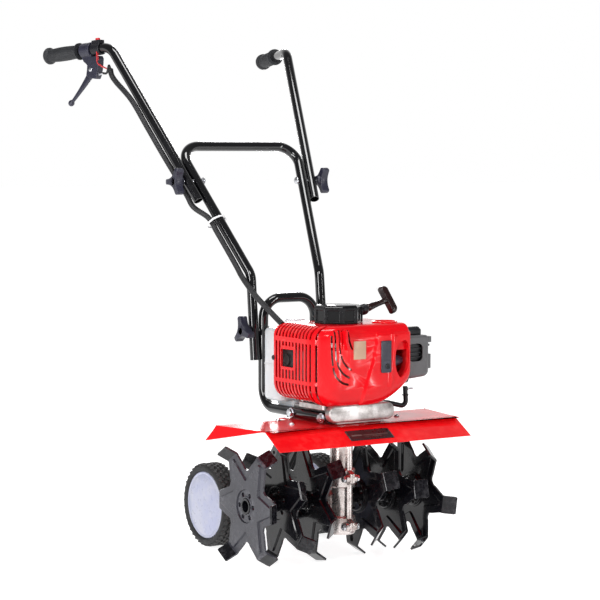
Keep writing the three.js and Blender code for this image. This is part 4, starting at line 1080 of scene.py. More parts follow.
def gear_case_half(sign):
    """One half of the split gearbox: tube, two bands, hub for the axle, seam flange and bolt bosses."""
    tube_profile = [
        (14, 52), (23.5, 52), (26, 55), (26, 83), (24, 85.5), (21, 87.5), (21, 139), (24.5, 141), (26, 143),
        (26, 172.5), (24.5, 174.5), (21, 176.5), (21, 263), (19.5, 264.4), (14, 264.4), (14, 58),
    ]
    body = joined(
        lathe("z", tube_profile, COLUMN, 72),
        lathe(
            "x", [(10.6, -17.8), (27, -17.8), (30, -15), (30, 15), (27, 17.8), (10.6, 17.8)], TINE_AXLE,
            72,
        ),
        lathe("x", [(10.6, -32), (15, -32), (17, -30), (17, 30), (15, 32), (10.6, 32)], TINE_AXLE, 64),
        plate(
            "x",
            [
                (CASE_BOLT_Y - 7.8, 60), (CASE_BOLT_Y - 7.8, 76), (CASE_BOLT_Y + 3, 82),
                (CASE_BOLT_Y + 3, 146), (CASE_BOLT_Y - 7.8, 150), (CASE_BOLT_Y - 7.8, 167),
                (CASE_BOLT_Y + 2, 173), (CASE_BOLT_Y + 3, 234), (COLUMN_Y - 16, 236), (COLUMN_Y - 16, 58),
            ],
            -5, 5,
        ),
        *[
            lathe(
                "x", [(0, -12), (6.6, -12), (8, -10.6), (8, 10.6), (6.6, 12), (0, 12)],
                (0, CASE_BOLT_Y, z), 40,
            )
            for z in CASE_BOLTS.values()
        ],
        plate(
            "z", [(-3, COLUMN_Y + 14), (3, COLUMN_Y + 14), (2.2, COLUMN_Y + 25), (-2.2, COLUMN_Y + 25)],
            178, 262,
        ),
    )
    body = cut(
        body, rod("z", 14, 58, 270, COLUMN),
        rod("x", 24.5, -9, 9, TINE_AXLE), rod("x", 10.6, -40, 40, TINE_AXLE),
        *[rod("x", 3.6, -20, 20, (0, CASE_BOLT_Y, z), 24) for z in CASE_BOLTS.values()],
        block(-60 if sign > 0 else -0.15, 0.15 if sign > 0 else 60, -120, 80, 0, 300),
    )
    return body


def make_gearbox():
    for side, sign in SIDES:
        piece(
            gear_case_half(sign), f"gearbox_half_{side}", "frame", "column", [f"gear_case_{side}"],
            bevel=0.7,
        )
    for level, z in CASE_BOLTS.items():
        at = (0, CASE_BOLT_Y, z)
        bolt = merged(
            rod("x", 3, -12.3, 12.3, at, 24),
            hex_head("x", 11, 12.3, 18, at), washer("x", 7.4, 3, 12.1, 12.9, at),
            hex_head("x", 11, -17, -12.3, at, -1), threaded("x", 3, -18, -17, at),
        )
        piece(bolt, f"gearbox_bolt_{level}", "frame", "steel", [f"case_bolt_{level}"], 0.25)
    worm_line = []
    for step in range(97):
        angle = 2 * math.pi * step / 32
        worm_line.append(Vector((
            WORM_RADIUS * math.cos(angle), COLUMN_Y + WORM_RADIUS * math.sin(angle),
            TINE_AXLE_HEIGHT - 24 + 48 * step / 96,
        )))
    shaft = merged(
        lathe("z", [(0, 62), (6, 62), (7, 63), (7, 261), (6, 262), (6, 296.4), (32, 296.4), (33, 297.4),
                    (33, 313), (30, 313), (30, 299), (0, 299)], COLUMN, 72),
        tube(worm_line, 1.8, 12),
    )
    piece(shaft, "worm_shaft", "drive", "shaft_steel", ["drive_shaft"], bevel=0.3)


# ---------------------------------------------------------------- frame and guard


def make_base():
    """Cast plate between the side tubes, with the rounded cross bar at its front."""
    inner = HOOP_HALF_WIDTH - TUBE_RADIUS - 0.3
    middle_z = SIDE_TUBE_HEIGHT + 9
    cross_bar = stepped(
        "y", ((-100, 3.2), (-99, 1.4), (-97.4, 0.4), (-95, 0), (-84.5, 0)), lambda inset: rounded(
            -73 + inset, 73 - inset, middle_z - 16 + inset, middle_z + 16 - inset, 15.6 - inset, 12,
        ),
    )
    body = joined(
        block(-inner, inner, -90, 58, 264.8, 290),
        cross_bar,
        block(-24.5, 24.5, 50, 83, 264.8, 279),
        plate("x", rounded(64, 104, 257.2, 279, 10.8, 10), -24.5, 24.5),
    )
    pockets = [
        block(x, x + 14, y, y + 24, 268, 292) for x in (-inner + 5, inner - 19) for y in (-58, -26, 6)
    ]
    body = cut(
        body, rod("z", 12, 250, 300, COLUMN),
        *[rod("x", 4.3, -60, 60, (0, y, SIDE_TUBE_HEIGHT), 24) for y in FRAME_BOLTS.values()],
        rod("x", 5.3, -60, 60, (0, *CARRIER_PIVOT), 24),
    )
    body = cut_apart(body, pockets)
    piece(body, "base_plate", "frame", "aluminium", ["base_casting"], bevel=1.2, segments=3)


def open_tube(points, name, body, replaced):
    """Painted steel tube with its bore open at both ends."""
    ends = []
    for end, near in ((points[0], points[1]), (points[-1], points[-2])):
        inward = (near - end).normalized()
        ends.append(tube([end - inward, end + inward * 14], TUBE_BORE_RADIUS, 28))
    outer = cut_apart(tube(points, TUBE_RADIUS, 40), ends)
    piece(outer, name, body, "gloss_black", replaced, bevel=0.4)


def make_frame():
    corners = [
        Vector((HOOP_HALF_WIDTH, -82, SIDE_TUBE_HEIGHT)),
        Vector((HOOP_HALF_WIDTH, HOOP_Y + 2, SIDE_TUBE_HEIGHT)),
        Vector((HOOP_HALF_WIDTH, HOOP_Y, HOOP_TOP)),
    ]
    corners += [Vector((-c.x, c.y, c.z)) for c in reversed(corners)]
    open_tube(centre_line(corners, 38, 16), "frame_hoop", "frame", ["hoop"])
    face = HOOP_HALF_WIDTH + TUBE_RADIUS
    for end, y in FRAME_BOLTS.items():
        at = (0, y, SIDE_TUBE_HEIGHT)
        bolt = merged(
            rod("x", 4, -face - 1, face + 1, at, 32), washer("x", 9.2, 4, -face - 1.9, -face - 0.3, at),
            washer("x", 9.2, 4, face + 0.3, face + 1.9, at),
            hex_head("x", 13, -face - 7, -face - 1.9, at, -1),
            hex_head("x", 13, face + 1.9, face + 7, at), threaded("x", 4, face + 7, face + 7.6, at),
        )
        piece(bolt, f"side_bolt_{end}", "frame", "steel", [f"frame_bolt_{end}"], 0.3)
    stay = centre_line([
        Vector((70.4, -50, 295)), Vector((92, -50, 293)), Vector((133, -52, 283)), Vector((129, -54, 322)),
    ], 9, 10)
    rod_body = tube(stay, 4.6, 32)
    collar = moved(rod("z", 6.2, 304, 307, (0, 0, 0), 32, 0.6), Matrix.Translation((130.4, -53.2, 0)))
    piece(merged(rod_body, collar), "stay_bar", "frame", "black_plastic", ["stay_rod"])
    pin = merged(
        rod("x", 1.8, 128, 146.6, (0, -54, 317), 24, 0.4), rod("x", 3, 133.6, 135.2, (0, -54, 317), 24, 0.3),
    )
    piece(pin, "stay_pin", "frame", "steel", bevel=0)


GUARD_HALF_WIDTH = 212
GUARD_FRONT_Y = -100
GUARD_REAR_Y = 28
GUARD_REAR_HALF_WIDTH = 236
GUARD_TAIL = {"half_width": 80, "y": 60}
GUARD_SHEET = 1.6
GUARD_SCREWS = ((-118, -42), (-106, 22), (118, -42), (106, 22))
FLANGE_REACH = 50
FLANGE_DROP = 31


def folded(start, direction_in, direction_out, radius, length):
    """Profile of a sheet that runs in, turns round a bend of a radius, and runs out for a length."""
    turn = math.atan2(
        direction_in[0] * direction_out[1] - direction_in[1] * direction_out[0],
        direction_in[0] * direction_out[0] + direction_in[1] * direction_out[1],
    )
    steps = 6
    reach = radius * math.tan(abs(turn) / 2)
    heading = math.atan2(direction_in[1], direction_in[0])
    point = (start[0] - direction_in[0] * reach, start[1] - direction_in[1] * reach)
    points = [point]
    for step in range(steps):
        middle_heading = heading + turn * (step + 0.5) / steps
        span = 2 * radius * math.sin(abs(turn) / steps / 2)
        point = (point[0] + span * math.cos(middle_heading), point[1] + span * math.sin(middle_heading))
        points.append(point)
    rest = length - reach
    points.append((point[0] + direction_out[0] * rest, point[1] + direction_out[1] * rest))
    return points


def thick_strip(line, thickness):
    """Outline of a bent sheet: its line, and the same line set below it by the sheet's thickness."""
    below = []
    for index, (u, v) in enumerate(line):
        before = line[max(index - 1, 0)]
        after = line[min(index + 1, len(line) - 1)]
        du, dv = after[0] - before[0], after[1] - before[1]
        size = math.hypot(du, dv)
        below.append((u - dv / size * thickness, v + du / size * thickness))
    return line + list(reversed(below))


def make_guard():
    """Folded sheet over the tines: flat top, sloping front flange and three-cornered side flanges."""
    slope_length = math.hypot(FLANGE_REACH, FLANGE_DROP)
    out = (-FLANGE_REACH / slope_length, -FLANGE_DROP / slope_length)
    line = [(GUARD_FRONT_Y + 12, GUARD_TOP)] + folded(
        (GUARD_FRONT_Y, GUARD_TOP), (-1, 0), out, 4, slope_length,
    )
    flange = plate("x", thick_strip(line, GUARD_SHEET), -GUARD_HALF_WIDTH, GUARD_HALF_WIDTH)
    tail, tail_y = GUARD_TAIL["half_width"], GUARD_TAIL["y"]
    inset = GUARD_HALF_WIDTH + 2
    sheet = plate("z", [
        (-inset, GUARD_FRONT_Y + 10), (inset, GUARD_FRONT_Y + 10), (GUARD_REAR_HALF_WIDTH, GUARD_REAR_Y),
        (tail, GUARD_REAR_Y), (tail, tail_y), (-tail, tail_y), (-tail, GUARD_REAR_Y),
        (-GUARD_REAR_HALF_WIDTH, GUARD_REAR_Y),
    ], GUARD_TOP - GUARD_SHEET, GUARD_TOP)
    body = joined(flange, sheet)
    wings = []
    for sign in (-1, 1):
        front = Vector((sign * (GUARD_HALF_WIDTH - 0.4), GUARD_FRONT_Y + 1, GUARD_TOP))
        rear = Vector((sign * (GUARD_REAR_HALF_WIDTH - 0.4), GUARD_REAR_Y, GUARD_TOP))
        tip = Vector((sign * (GUARD_REAR_HALF_WIDTH + 22), GUARD_REAR_Y + 3, GUARD_TOP - 26))
        normal = (tip - rear).cross(front - rear).normalized()
        if normal.z < 0:
            normal = -normal
        top = [front, rear, tip]
        bottom = [point - normal * GUARD_SHEET for point in top]
        faces = [(0, 1, 2), (5, 4, 3), (0, 3, 4, 1), (1, 4, 5, 2), (2, 5, 3, 0)]
        wings.append(shape_from(top + bottom, faces))
    body = joined(body, *wings)
    body = cut(body, rod("z", 21.5, 250, 280, COLUMN, 48))
    piece(body, "tine_guard", "frame", "red", ["guard"], bevel=0.7, segments=3)
    for index, (x, y) in enumerate(GUARD_SCREWS):
        at = (x, y, 0)
        screw = merged(
            washer("z", 5.6, 2.4, GUARD_TOP, GUARD_TOP + 1, at),
            lathe(
                "z",
                [
                    (0, GUARD_TOP + 0.9), (4.4, GUARD_TOP + 0.9), (4.2, GUARD_TOP + 2.6),
                    (3, GUARD_TOP + 3.9), (0, GUARD_TOP + 4.3),
                ],
                at, 32,
            ),
        )
        piece(screw, f"guard_screw_{index + 1}", "frame", "steel", bevel=0)
    tilt = (
        Matrix.Translation((0, GUARD_FRONT_Y, GUARD_TOP))
        @ Matrix.Rotation(math.atan2(FLANGE_DROP, FLANGE_REACH), 4, "X")
    )
    label = stepped(
        "z", ((0.3, 0), (1.0, 0), (1.3, 0.5)),
        lambda inset: rounded(-52 + inset, 44 - inset, -46 + inset, -18 - inset, 2.5, 6),
    )
    label = cut(label, plate("z", rounded(-49, 41, -43, -21, 1.6), 1.0, 2))
    piece(moved(label, tilt), "front_plate", "frame", "screen", ["guard_plate"], bevel=0.15)
    bars = []
    for start, end, low, high in (
        (-44, -22, -34.5, -30.5), (-18, 36, -33.6, -32.2), (-18, 20, -37.4, -36.6),
    ):
        bars.append(plate("z", rounded(start, end, low, high, 0.38, 3), 0.95, 1.12))
    piece(moved(merged(*bars), tilt), "front_plate_bars", "frame", "stripe", bevel=0)


# ---------------------------------------------------------------- handles


def on_lean(height, offset=0.0):
    """A point on the handle's straight, leaning line on the operator's left."""
    rise = height - MIDDLE_BEND.z
    return Vector((
        MIDDLE_BEND.x + offset + HANDLE_LEAN.x * rise, MIDDLE_BEND.y + HANDLE_LEAN.y * rise, height,
    ))


def other_side(point):
    return Vector((-point.x, point.y, point.z))


UPPER_BOLT = Vector((0, on_lean(UPPER_BOLT_HEIGHT).y, UPPER_BOLT_HEIGHT))
GRIP_DIRECTION = Vector(
    (
        math.sin(GRIP_YAW) * math.cos(GRIP_PITCH), math.cos(GRIP_YAW) * math.cos(GRIP_PITCH),
        math.sin(GRIP_PITCH),
    )
)
KNOB_DEPTH = 21
KNOB_TIP = ((25.4, -5.3), (27.1, -4.5), (28.0, -2.5), (28.2, 0), (28.0, 2.5), (27.1, 4.5), (25.4, 5.3))
KNOB_HOLLOW = 5.7
KNOB_TURNS = {"upper": {"right": -2, "left": 0}, "lower": {"right": 77, "left": 30}}


def grip_frame(sign):
    """Where the straight end of an upper handle lies: Y runs out along the grip."""
    corner = on_lean(UPPER_BEND_HEIGHT, UPPER_OFFSET)
    corner.x *= sign
    return (
        Matrix.Translation(corner) @ Matrix.Rotation(-sign * GRIP_YAW, 4, "Z")
        @ Matrix.Rotation(GRIP_PITCH, 4, "X")
    )


def turned_point(point, degrees):
    angle = math.radians(degrees)
    return Vector((
        point[0] * math.cos(angle) - point[1] * math.sin(angle),
        point[0] * math.sin(angle) + point[1] * math.cos(angle),
    ))


def knob_outline(turn):
    """Three arms with rounded ends and hollow flanks between them."""
    points = []
    steps = 12
    for arm in range(3):
        angle = turn + 120 * arm
        points += [turned_point(point, angle) for point in KNOB_TIP]
        start = turned_point(KNOB_TIP[-1], angle)
        hollow = turned_point((KNOB_HOLLOW, 0), angle + 60)
        end = turned_point(KNOB_TIP[0], angle + 120)
        for step in range(1, steps):
            share = step / steps
            points.append(start * (1 - share) ** 2 + hollow * (2 * share * (1 - share)) + end * share ** 2)
    return [tuple(point) for point in points]


def star_knob(turn):
    """Moulded clamping knob: tapered neck, three arms with hollow flanks, and a sunk centre."""
    outline = knob_outline(turn)
    levels = ((5, 1.6), (5.6, 0.5), (6.8, 0), (19.2, 0), (20.4, 0.4), (21, 1.5))
    body = joined(
        lathe("x", [(0, 0), (8.4, 0), (9.2, 0.8), (10.5, 5), (10.5, 6.4), (0, 6.4)]),
        stepped("x", levels, lambda inset: scaled_outline(outline, -inset)),
    )
    body = cut(
        body, rod("x", 4, -1, KNOB_DEPTH - 5, segments=24),
        lathe("x", [(0, KNOB_DEPTH - 3), (5.2, KNOB_DEPTH - 3), (6.2, KNOB_DEPTH - 0.6), (7, KNOB_DEPTH + 1),
                    (0, KNOB_DEPTH + 1)]),
    )
    ring = cut(
        lathe(
            "x",
            [
                (0, KNOB_DEPTH - 0.6), (9.2, KNOB_DEPTH - 0.6), (9.2, KNOB_DEPTH + 0.1),
                (8.6, KNOB_DEPTH + 0.6), (0, KNOB_DEPTH + 0.6),
            ],
        ),
        rod("x", 7.2, KNOB_DEPTH - 4, KNOB_DEPTH + 4, segments=48),
    )
    return joined(body, ring)


def make_handles():
    corners = [MIDDLE_FOOT, MIDDLE_BEND, on_lean(CROSSBAR_HEIGHT)]
    line = centre_line([*corners, *[other_side(c) for c in reversed(corners)]], 38, 16)
    open_tube(line, "middle_bar", "middle", ["middle_handle"])
    upper_corner = on_lean(UPPER_BEND_HEIGHT, UPPER_OFFSET)
    upper_end = upper_corner + GRIP_DIRECTION * (GRIP_REACH - 4)
    lower_end = on_lean(UPPER_END_HEIGHT, UPPER_OFFSET)
    upper_line = centre_line([lower_end, upper_corner, upper_end], 36, 16)
    for side, sign in SIDES:
        points = upper_line if sign > 0 else [other_side(p) for p in upper_line]
        open_tube(points, f"upper_bar_{side}", f"bar_{side}", [f"upper_handle_{side}"])
        make_grip(side, sign)
    make_knobs()


def make_grip(side, sign):
    """Rubber sleeve with two flanges, a swelling middle and fine rings moulded round it."""
    profile = [
        (9.8, GRIP_START), (17, GRIP_START), (17, GRIP_START + 3), (14.4, GRIP_START + 4.4),
        (13, GRIP_START + 6),
    ]
    rings = 34
    length = GRIP_REACH - 9 - (GRIP_START + 8)
    for ring in range(rings):
        start = GRIP_START + 8 + length * ring / rings
        share = ring / (rings - 1)
        swell = 13.1 + 1.5 * math.sin(math.pi * share)
        profile += [
            (swell - 0.42, start), (swell, start + 0.7), (swell, start + 1.9),
            (swell - 0.42, start + 2.4),
        ]
    profile += [
        (13.6, GRIP_REACH - 8), (16.4, GRIP_REACH - 6.2), (17, GRIP_REACH - 5.4), (17, GRIP_REACH - 1.6),
        (15.8, GRIP_REACH + 0.6), (13.4, GRIP_REACH + 2), (4, GRIP_REACH + 2), (3, GRIP_REACH + 1.2),
        (0, GRIP_REACH + 1.2),
    ]
    inner = [(0, GRIP_REACH - 3), (9.8, GRIP_REACH - 3)]
    body = lathe("y", [*inner, *profile], segments=72)
    piece(
        moved(body, grip_frame(sign)), f"grip_sleeve_{side}", f"bar_{side}", "rubber", [f"grip_{side}"],
        bevel=0,
    )


def make_knobs():
    upper_x = on_lean(UPPER_BOLT_HEIGHT).x
    places = (
        ("upper", "middle", UPPER_BOLT, upper_x - 12.3, upper_x + UPPER_OFFSET + 12.3),
        (
            "lower", "frame", LOWER_BOLT, HOOP_HALF_WIDTH - TUBE_RADIUS - 0.3,
            MIDDLE_FOOT.x + TUBE_RADIUS + 0.3,
        ),
    )
    for level, carrier, at, inboard, face in places:
        for side, sign in SIDES:
            there = Matrix.Translation((sign * face, at.y, at.z))
            knob = moved(mirrored(star_knob(KNOB_TURNS[level][side]), sign), there)
            piece(
                knob, f"star_knob_{level}_{side}", f"{level}_knob_{side}", "blue_plastic",
                [f"knob_{level}_{side}"], bevel=0.35,
            )
            bolt = merged(
                rod("x", 3.5, inboard - 3, face + KNOB_DEPTH - 5.2, at, 32),
                lathe(
                    "x",
                    [
                        (0, inboard - 4.6), (4, inboard - 4.3), (6.8, inboard - 2.6),
                        (7.6, inboard - 0.6), (7.6, inboard - 0.2), (0, inboard - 0.2),
                    ],
                    at, 48,
                ),
            )
            piece(
                mirrored(bolt, sign), f"clamp_bolt_{level}_{side}", carrier, "steel",
                [f"knob_bolt_{level}_{side}"], bevel=0.2,
            )


# ---------------------------------------------------------------- controls

LEVER_PIVOT = Vector((0, 52, -40))
LEVER_TIP = Vector((0, 121, -101))


def make_throttle():
    """Clamp bracket under the right grip, with its squeeze lever."""
    place = grip_frame(-1)
    arm_outline = [
        (76, -9), (74.5, -16), (72, -22), (66, -26.5), (62, -30), (63.5, -40), (66, -50), (65, -53.4),
        (60, -55), (50, -58), (40, -60), (36, -54), (32, -44), (29, -32), (27, -20), (30, -14.5),
        (48.5, -14), (49, -9),
    ]
    arm_levels = ((-7.5, 0.9), (-6.6, 0), (6.6, 0), (7.5, 0.9))
    body = joined(
        lathe("y", [(0, 50), (14, 50), (15, 51), (15, 76), (14, 77), (0, 77)], segments=64),
        stepped("x", arm_levels, lambda inset: scaled_outline(arm_outline, -inset)),
        rod("z", 4.2, -24, -13, (0, 70, 0), 32),
    )
    body = cut(
        body, rod("y", 9.8, 20, 90, segments=48),
        block(-3.8, 3.8, 42, 90, -66, -26),
        block(-16, 16, 62.6, 64.4, 6, 18),
    )
    piece(
        moved(body, place), "throttle_clamp", "bar_right", "blue_plastic", ["throttle_bracket"],
        bevel=0.7, segments=3,
    )
    pin = merged(
        rod("x", 2.5, -8.2, 8.2, LEVER_PIVOT, 32, 0.4),
        lathe("x", [(0, 7.6), (4.4, 7.6), (4.2, 8.8), (2.6, 9.6), (0, 9.8)], LEVER_PIVOT, 32),
        lathe("x", [(0, -9.8), (2.6, -9.6), (4.2, -8.8), (4.4, -7.6), (0, -7.6)], LEVER_PIVOT, 32),
    )
    screw = merged(
        hex_head("x", 7, 8.4, 11.6, (0, 57, 12)), rod("x", 2, -10, 8.4, (0, 57, 12), 24),
    )
    ferrule = lathe("y", [(0, 24), (2.4, 24), (2.4, 34), (3.4, 34.6), (3.4, 38), (0, 38)], (0, 0, -50), 32)
    piece(moved(merged(pin, ferrule), place), "lever_pin", "bar_right", "steel", bevel=0)
    piece(moved(screw, place), "clamp_screw", "bar_right", "steel", bevel=0)
    span = (LEVER_TIP - LEVER_PIVOT).length
    swing = math.atan2(LEVER_TIP.z - LEVER_PIVOT.z, LEVER_TIP.y - LEVER_PIVOT.y)
    rings = []
    stations = 26
    for step in range(stations + 1):
        share = step / stations
        y = span * share
        height = 6.4 * (1 - share) ** 1.4 + 3.4
        droop = -1.6 * math.sin(math.pi * share)
        half_width = 3.2 - 0.3 * share
        ring = []
        for u, v in rounded(-half_width, half_width, -height, height * 0.82, min(2.4, half_width - 0.2), 5):
            ring.append(Vector((u, y, v + droop)))
        rings.append(ring)
    lever = joined(
        loft(rings),
        rod("x", 7.8, -3.2, 3.2, segments=48),
        lathe("y", [(0, span - 7.4), (4.4, span - 5.6), (6.2, span - 2.4), (6.4, span), (5.6, span + 3.2),
                    (3.4, span + 5.4), (0, span + 6)], segments=40),
    )
    lever = cut(lever, rod("x", 2.9, -5, 5, segments=24))
    swung = place @ Matrix.Translation(LEVER_PIVOT) @ Matrix.Rotation(swing, 4, "X")
    piece(moved(lever, swung), "squeeze_lever", "lever", "blue_plastic", ["throttle_lever"], bevel=0.5)


def make_switch():
    """Stop switch on a thin band round the tube, with its two wires down to the loom."""
    place = grip_frame(-1)
    housing = joined(
        lathe("y", [(0, 23), (12, 23), (13, 24), (13, 46), (12, 47), (0, 47)], segments=56),
        block(-8, 8, 24, 45, 6, 17),
    )
    housing = cut(
        housing, rod("y", 9.8, 10, 60, segments=48), rod("z", 5.4, 12.5, 20, (0, 34, 0), 40),
    )
    piece(
        moved(housing, place), "switch_band", "bar_right", "black_plastic", ["switch_clamp"], bevel=0.9,
        segments=3,
    )
    button = lathe("z", [(0, 14.5), (5, 14.5), (5, 20.2), (4.6, 21), (3.4, 21.4), (0, 21.5)], (0, 34, 0), 48)
    piece(moved(button, place), "stop_push", "button", "button", ["stop_button"], bevel=0)
    mouth = LOOM_POINTS[0]
    to_local = place.inverted() @ mouth
    for index, shift in enumerate((-1.6, 1.6)):
        route = smooth_line(
            [
                Vector((-10 + shift, 28, -7)), Vector((-11 + shift, 27, -16)),
                Vector((-6 + shift * 1.4, 30, -30)),
                Vector((to_local.x * 0.5 + shift, to_local.y * 0.5 + 16, to_local.z * 0.5 - 18)),
                to_local + Vector((shift * 0.6, 0, 0)),
            ],
            8,
        )
        piece(moved(tube(route, 1.0, 12), place), f"switch_wire_{index + 1}", "bar_right", "wire", bevel=0)
    cable = smooth_line(
        [
            Vector((0, 24, -50)), Vector((0, 14, -50)),
            Vector((to_local.x, to_local.y + 4, to_local.z + 8)), to_local,
        ],
        8,
    )
    piece(moved(tube(cable, 2.2, 14), place), "throttle_cable", "bar_right", "sleeve", bevel=0)


LOOM_OUT = Vector((-0.713, 0.466, -0.525))
LOOM_BESIDE = LOOM_OUT * 15.6
LOOM_RADIUS = 5.5
LOOM_SPLIT = 632


def loom_beside(height, offset):
    return other_side(on_lean(height, offset)) + LOOM_BESIDE


def loom_behind_knob(height):
    return other_side(on_lean(height, UPPER_OFFSET)) + Vector((-4, 12.5, -12.5))


LOOM_POINTS = [
    Vector((-206.5, 482, 926)), Vector((-207, 476, 914)), Vector((-204, 463, 900)),
    loom_beside(872, UPPER_OFFSET + 0.5), loom_beside(820, UPPER_OFFSET), loom_beside(770, UPPER_OFFSET),
    loom_behind_knob(722), loom_behind_knob(690), loom_behind_knob(668), loom_beside(643, 0.6),
    loom_beside(618, 0), loom_beside(585, 0), loom_beside(553, 0.5), Vector((-94.5, 163, 521)),
    Vector((-90, 125, 490)), Vector((-78, 80, 455)), Vector((-76, 54, 440.5)),
]


def make_loom():
    """Sleeve round the throttle cable and switch wires, in two halves, which are then taken off their
    bodies.
    """
    line = smooth_line(LOOM_POINTS, 14)
    split = min(range(len(line)), key=lambda index: abs(line[index].z - LOOM_SPLIT))

    def sleeve(points):
        walked = [0.0]
        for before, after in zip(points, points[1:]):
            walked.append(walked[-1] + (after - before).length)
        spacing = 1.25
        count = int(walked[-1] / spacing)
        even, position = [], 0
        for step in range(count + 1):
            target = walked[-1] * step / count
            while position < len(walked) - 2 and walked[position + 1] < target:
                position += 1
            share = (target - walked[position]) / (walked[position + 1] - walked[position])
            even.append(points[position].lerp(points[position + 1], share))
        return tube(even, lambda t: LOOM_RADIUS - 0.42 * (round(t * count) % 3 == 0), 20)

    upper = piece(sleeve(line[:split + 1]), "loom_upper", "bar_right", "sleeve", bevel=0)
    lower = piece(sleeve(line[split:]), "loom_lower", "middle", "sleeve", bevel=0)
    for part, bodies, heights in (
        (upper, ("bar_right", "middle"), (UPPER_BOLT_HEIGHT + 45, UPPER_BOLT_HEIGHT - 45)),
        (lower, ("middle", "frame"), (LOWER_BOLT.z + 110, LOWER_BOLT.z + 26)),
    ):
        world = part.matrix_world.copy()
        part.parent = None
        part.matrix_world = world
        del part["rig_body"]
        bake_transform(part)
    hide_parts("control_loom")


def make_tie():
    """Cable tie round the right tube and the loom, with its square head and loose tail."""
    centre = other_side(on_lean(LOOM_SPLIT)) + LOOM_OUT * 7
    along = Vector((-HANDLE_LEAN.x, HANDLE_LEAN.y, HANDLE_LEAN.z)).normalized()
    turn = Vector((0, 0, 1)).rotation_difference(along).to_matrix().to_4x4()
    ring = lathe("z", [(18.7, -1.6), (19.8, -1.6), (19.8, 1.6), (18.7, 1.6)], segments=72)
    head = block(17.8, 23.8, -2.6, 2.6, -2.4, 2.4)
    tail = tube(
        smooth_line([Vector((21, 2, 0)), Vector((21.6, 9, 0.6)), Vector((20.4, 17, 1.6))], 8), 1.0, 8,
    )
    piece(
        moved(merged(ring, head, tail), Matrix.Translation(centre) @ turn), "cable_tie", "middle",
        "white", ["zip_tie"], bevel=0.25,
    )


# ---------------------------------------------------------------- engine


def make_crankcase():
    body = joined(
        plate("z", rounded(-70, 70, -75, 12, 9), 290.3, 300),
        rod("z", 41, 290.3, 320, COLUMN, 64, 1.5),
        plate("z", rounded(-36, 36, -66, 4, 8), 318, 398),
        *[block(x, x + 22, y, y + 4, 299, 318) for x in (-60, 38) for y in (-62, -4)],
    )
    body = cut(body, rod("z", 37, 289, 317, COLUMN, 64), rod("z", 20, 330, 400, COLUMN, 48))
    screws = merged(*[
        rod("z", 4, 300, 304, (x, y, 0), 24, 0.6) for x in (-62, 62) for y in (-67, 4)
    ])
    piece(merged(body, screws), "crankcase_body", "frame", "aluminium", ["crankcase"], bevel=0.9)


def make_cylinder():
    parts = [rod("y", 24, -104, -66.3, (0, 0, 368), 64)]
    for fin in range(7):
        y = -103 + fin * 5.2
        parts.append(plate("y", rounded(-33, 33, 340, 396, 7), y, y + 1.9))
    body = cut(joined(*parts), rod("y", 17, -94, -60, (0, 0, 368), 48))
    piece(body, "finned_cylinder", "frame", "aluminium", ["cylinder"], bevel=0.35)
    boot = lathe(
        "x",
        [
            (0, 33.6), (8.4, 33.6), (9, 34.4), (9, 40), (8.2, 40.6), (9, 41.2), (9, 46), (8.2, 46.6),
            (9, 47.2), (9, 57), (12, 59.4), (13, 62), (12.8, 68), (12, 74), (9.6, 83), (6.4, 91),
            (5, 92.6), (0, 93),
        ],
        (0, -92, 377), 56,
    )
    piece(boot, "spark_boot", "frame", "blue_plastic", ["plug_boot"], bevel=0.2)


def make_muffler():
    box = {"x": (-90, -36.3), "y": (-36, 40), "z": (330, 398)}
    body = joined(
        pillow(box, 10, 5, 5),
        lathe(
            "x",
            [
                (0, -85), (11, -85), (11, -93.4), (10.2, -94), (9, -94), (8.5, -93.4), (8.5, -91.5),
                (0, -91.5),
            ],
            EXHAUST, 48,
        ),
    )
    seam = cut(
        plate("x", rounded(-37.2, 41.2, 328.8, 399.2, 11), -66, -63.6),
        plate("x", rounded(-35, 39, 331, 397, 9), -67, -62),
    )
    body = merged(body, seam)
    piece(body, "muffler_can", "frame", "dark_steel", ["muffler"], bevel=0.5)


def make_flywheel():
    parts = [
        rod("z", 7, 334, 402, COLUMN, 40), rod("z", 18, 340, 352, COLUMN, 48, 1),
        rod("z", 46, 402, 412, COLUMN, 96, 1), rod("z", 14, 412, 432, COLUMN, 48, 1),
    ]
    blades = 16
    for blade in range(blades):
        vane = block(20, 44.6, -1, 1, 411, 425)
        vane = reshape(vane, lambda p: Vector((p.x, p.y + ((p.x - 20) / 25) ** 2 * 5, p.z)))
        turn = Matrix.Translation(COLUMN) @ Matrix.Rotation(2 * math.pi * blade / blades, 4, "Z")
        parts.append(moved(vane, turn))
    piece(merged(*parts), "fan_wheel", "crank", "aluminium", ["flywheel"], bevel=0.4)


# ---------------------------------------------------------------- engine cover

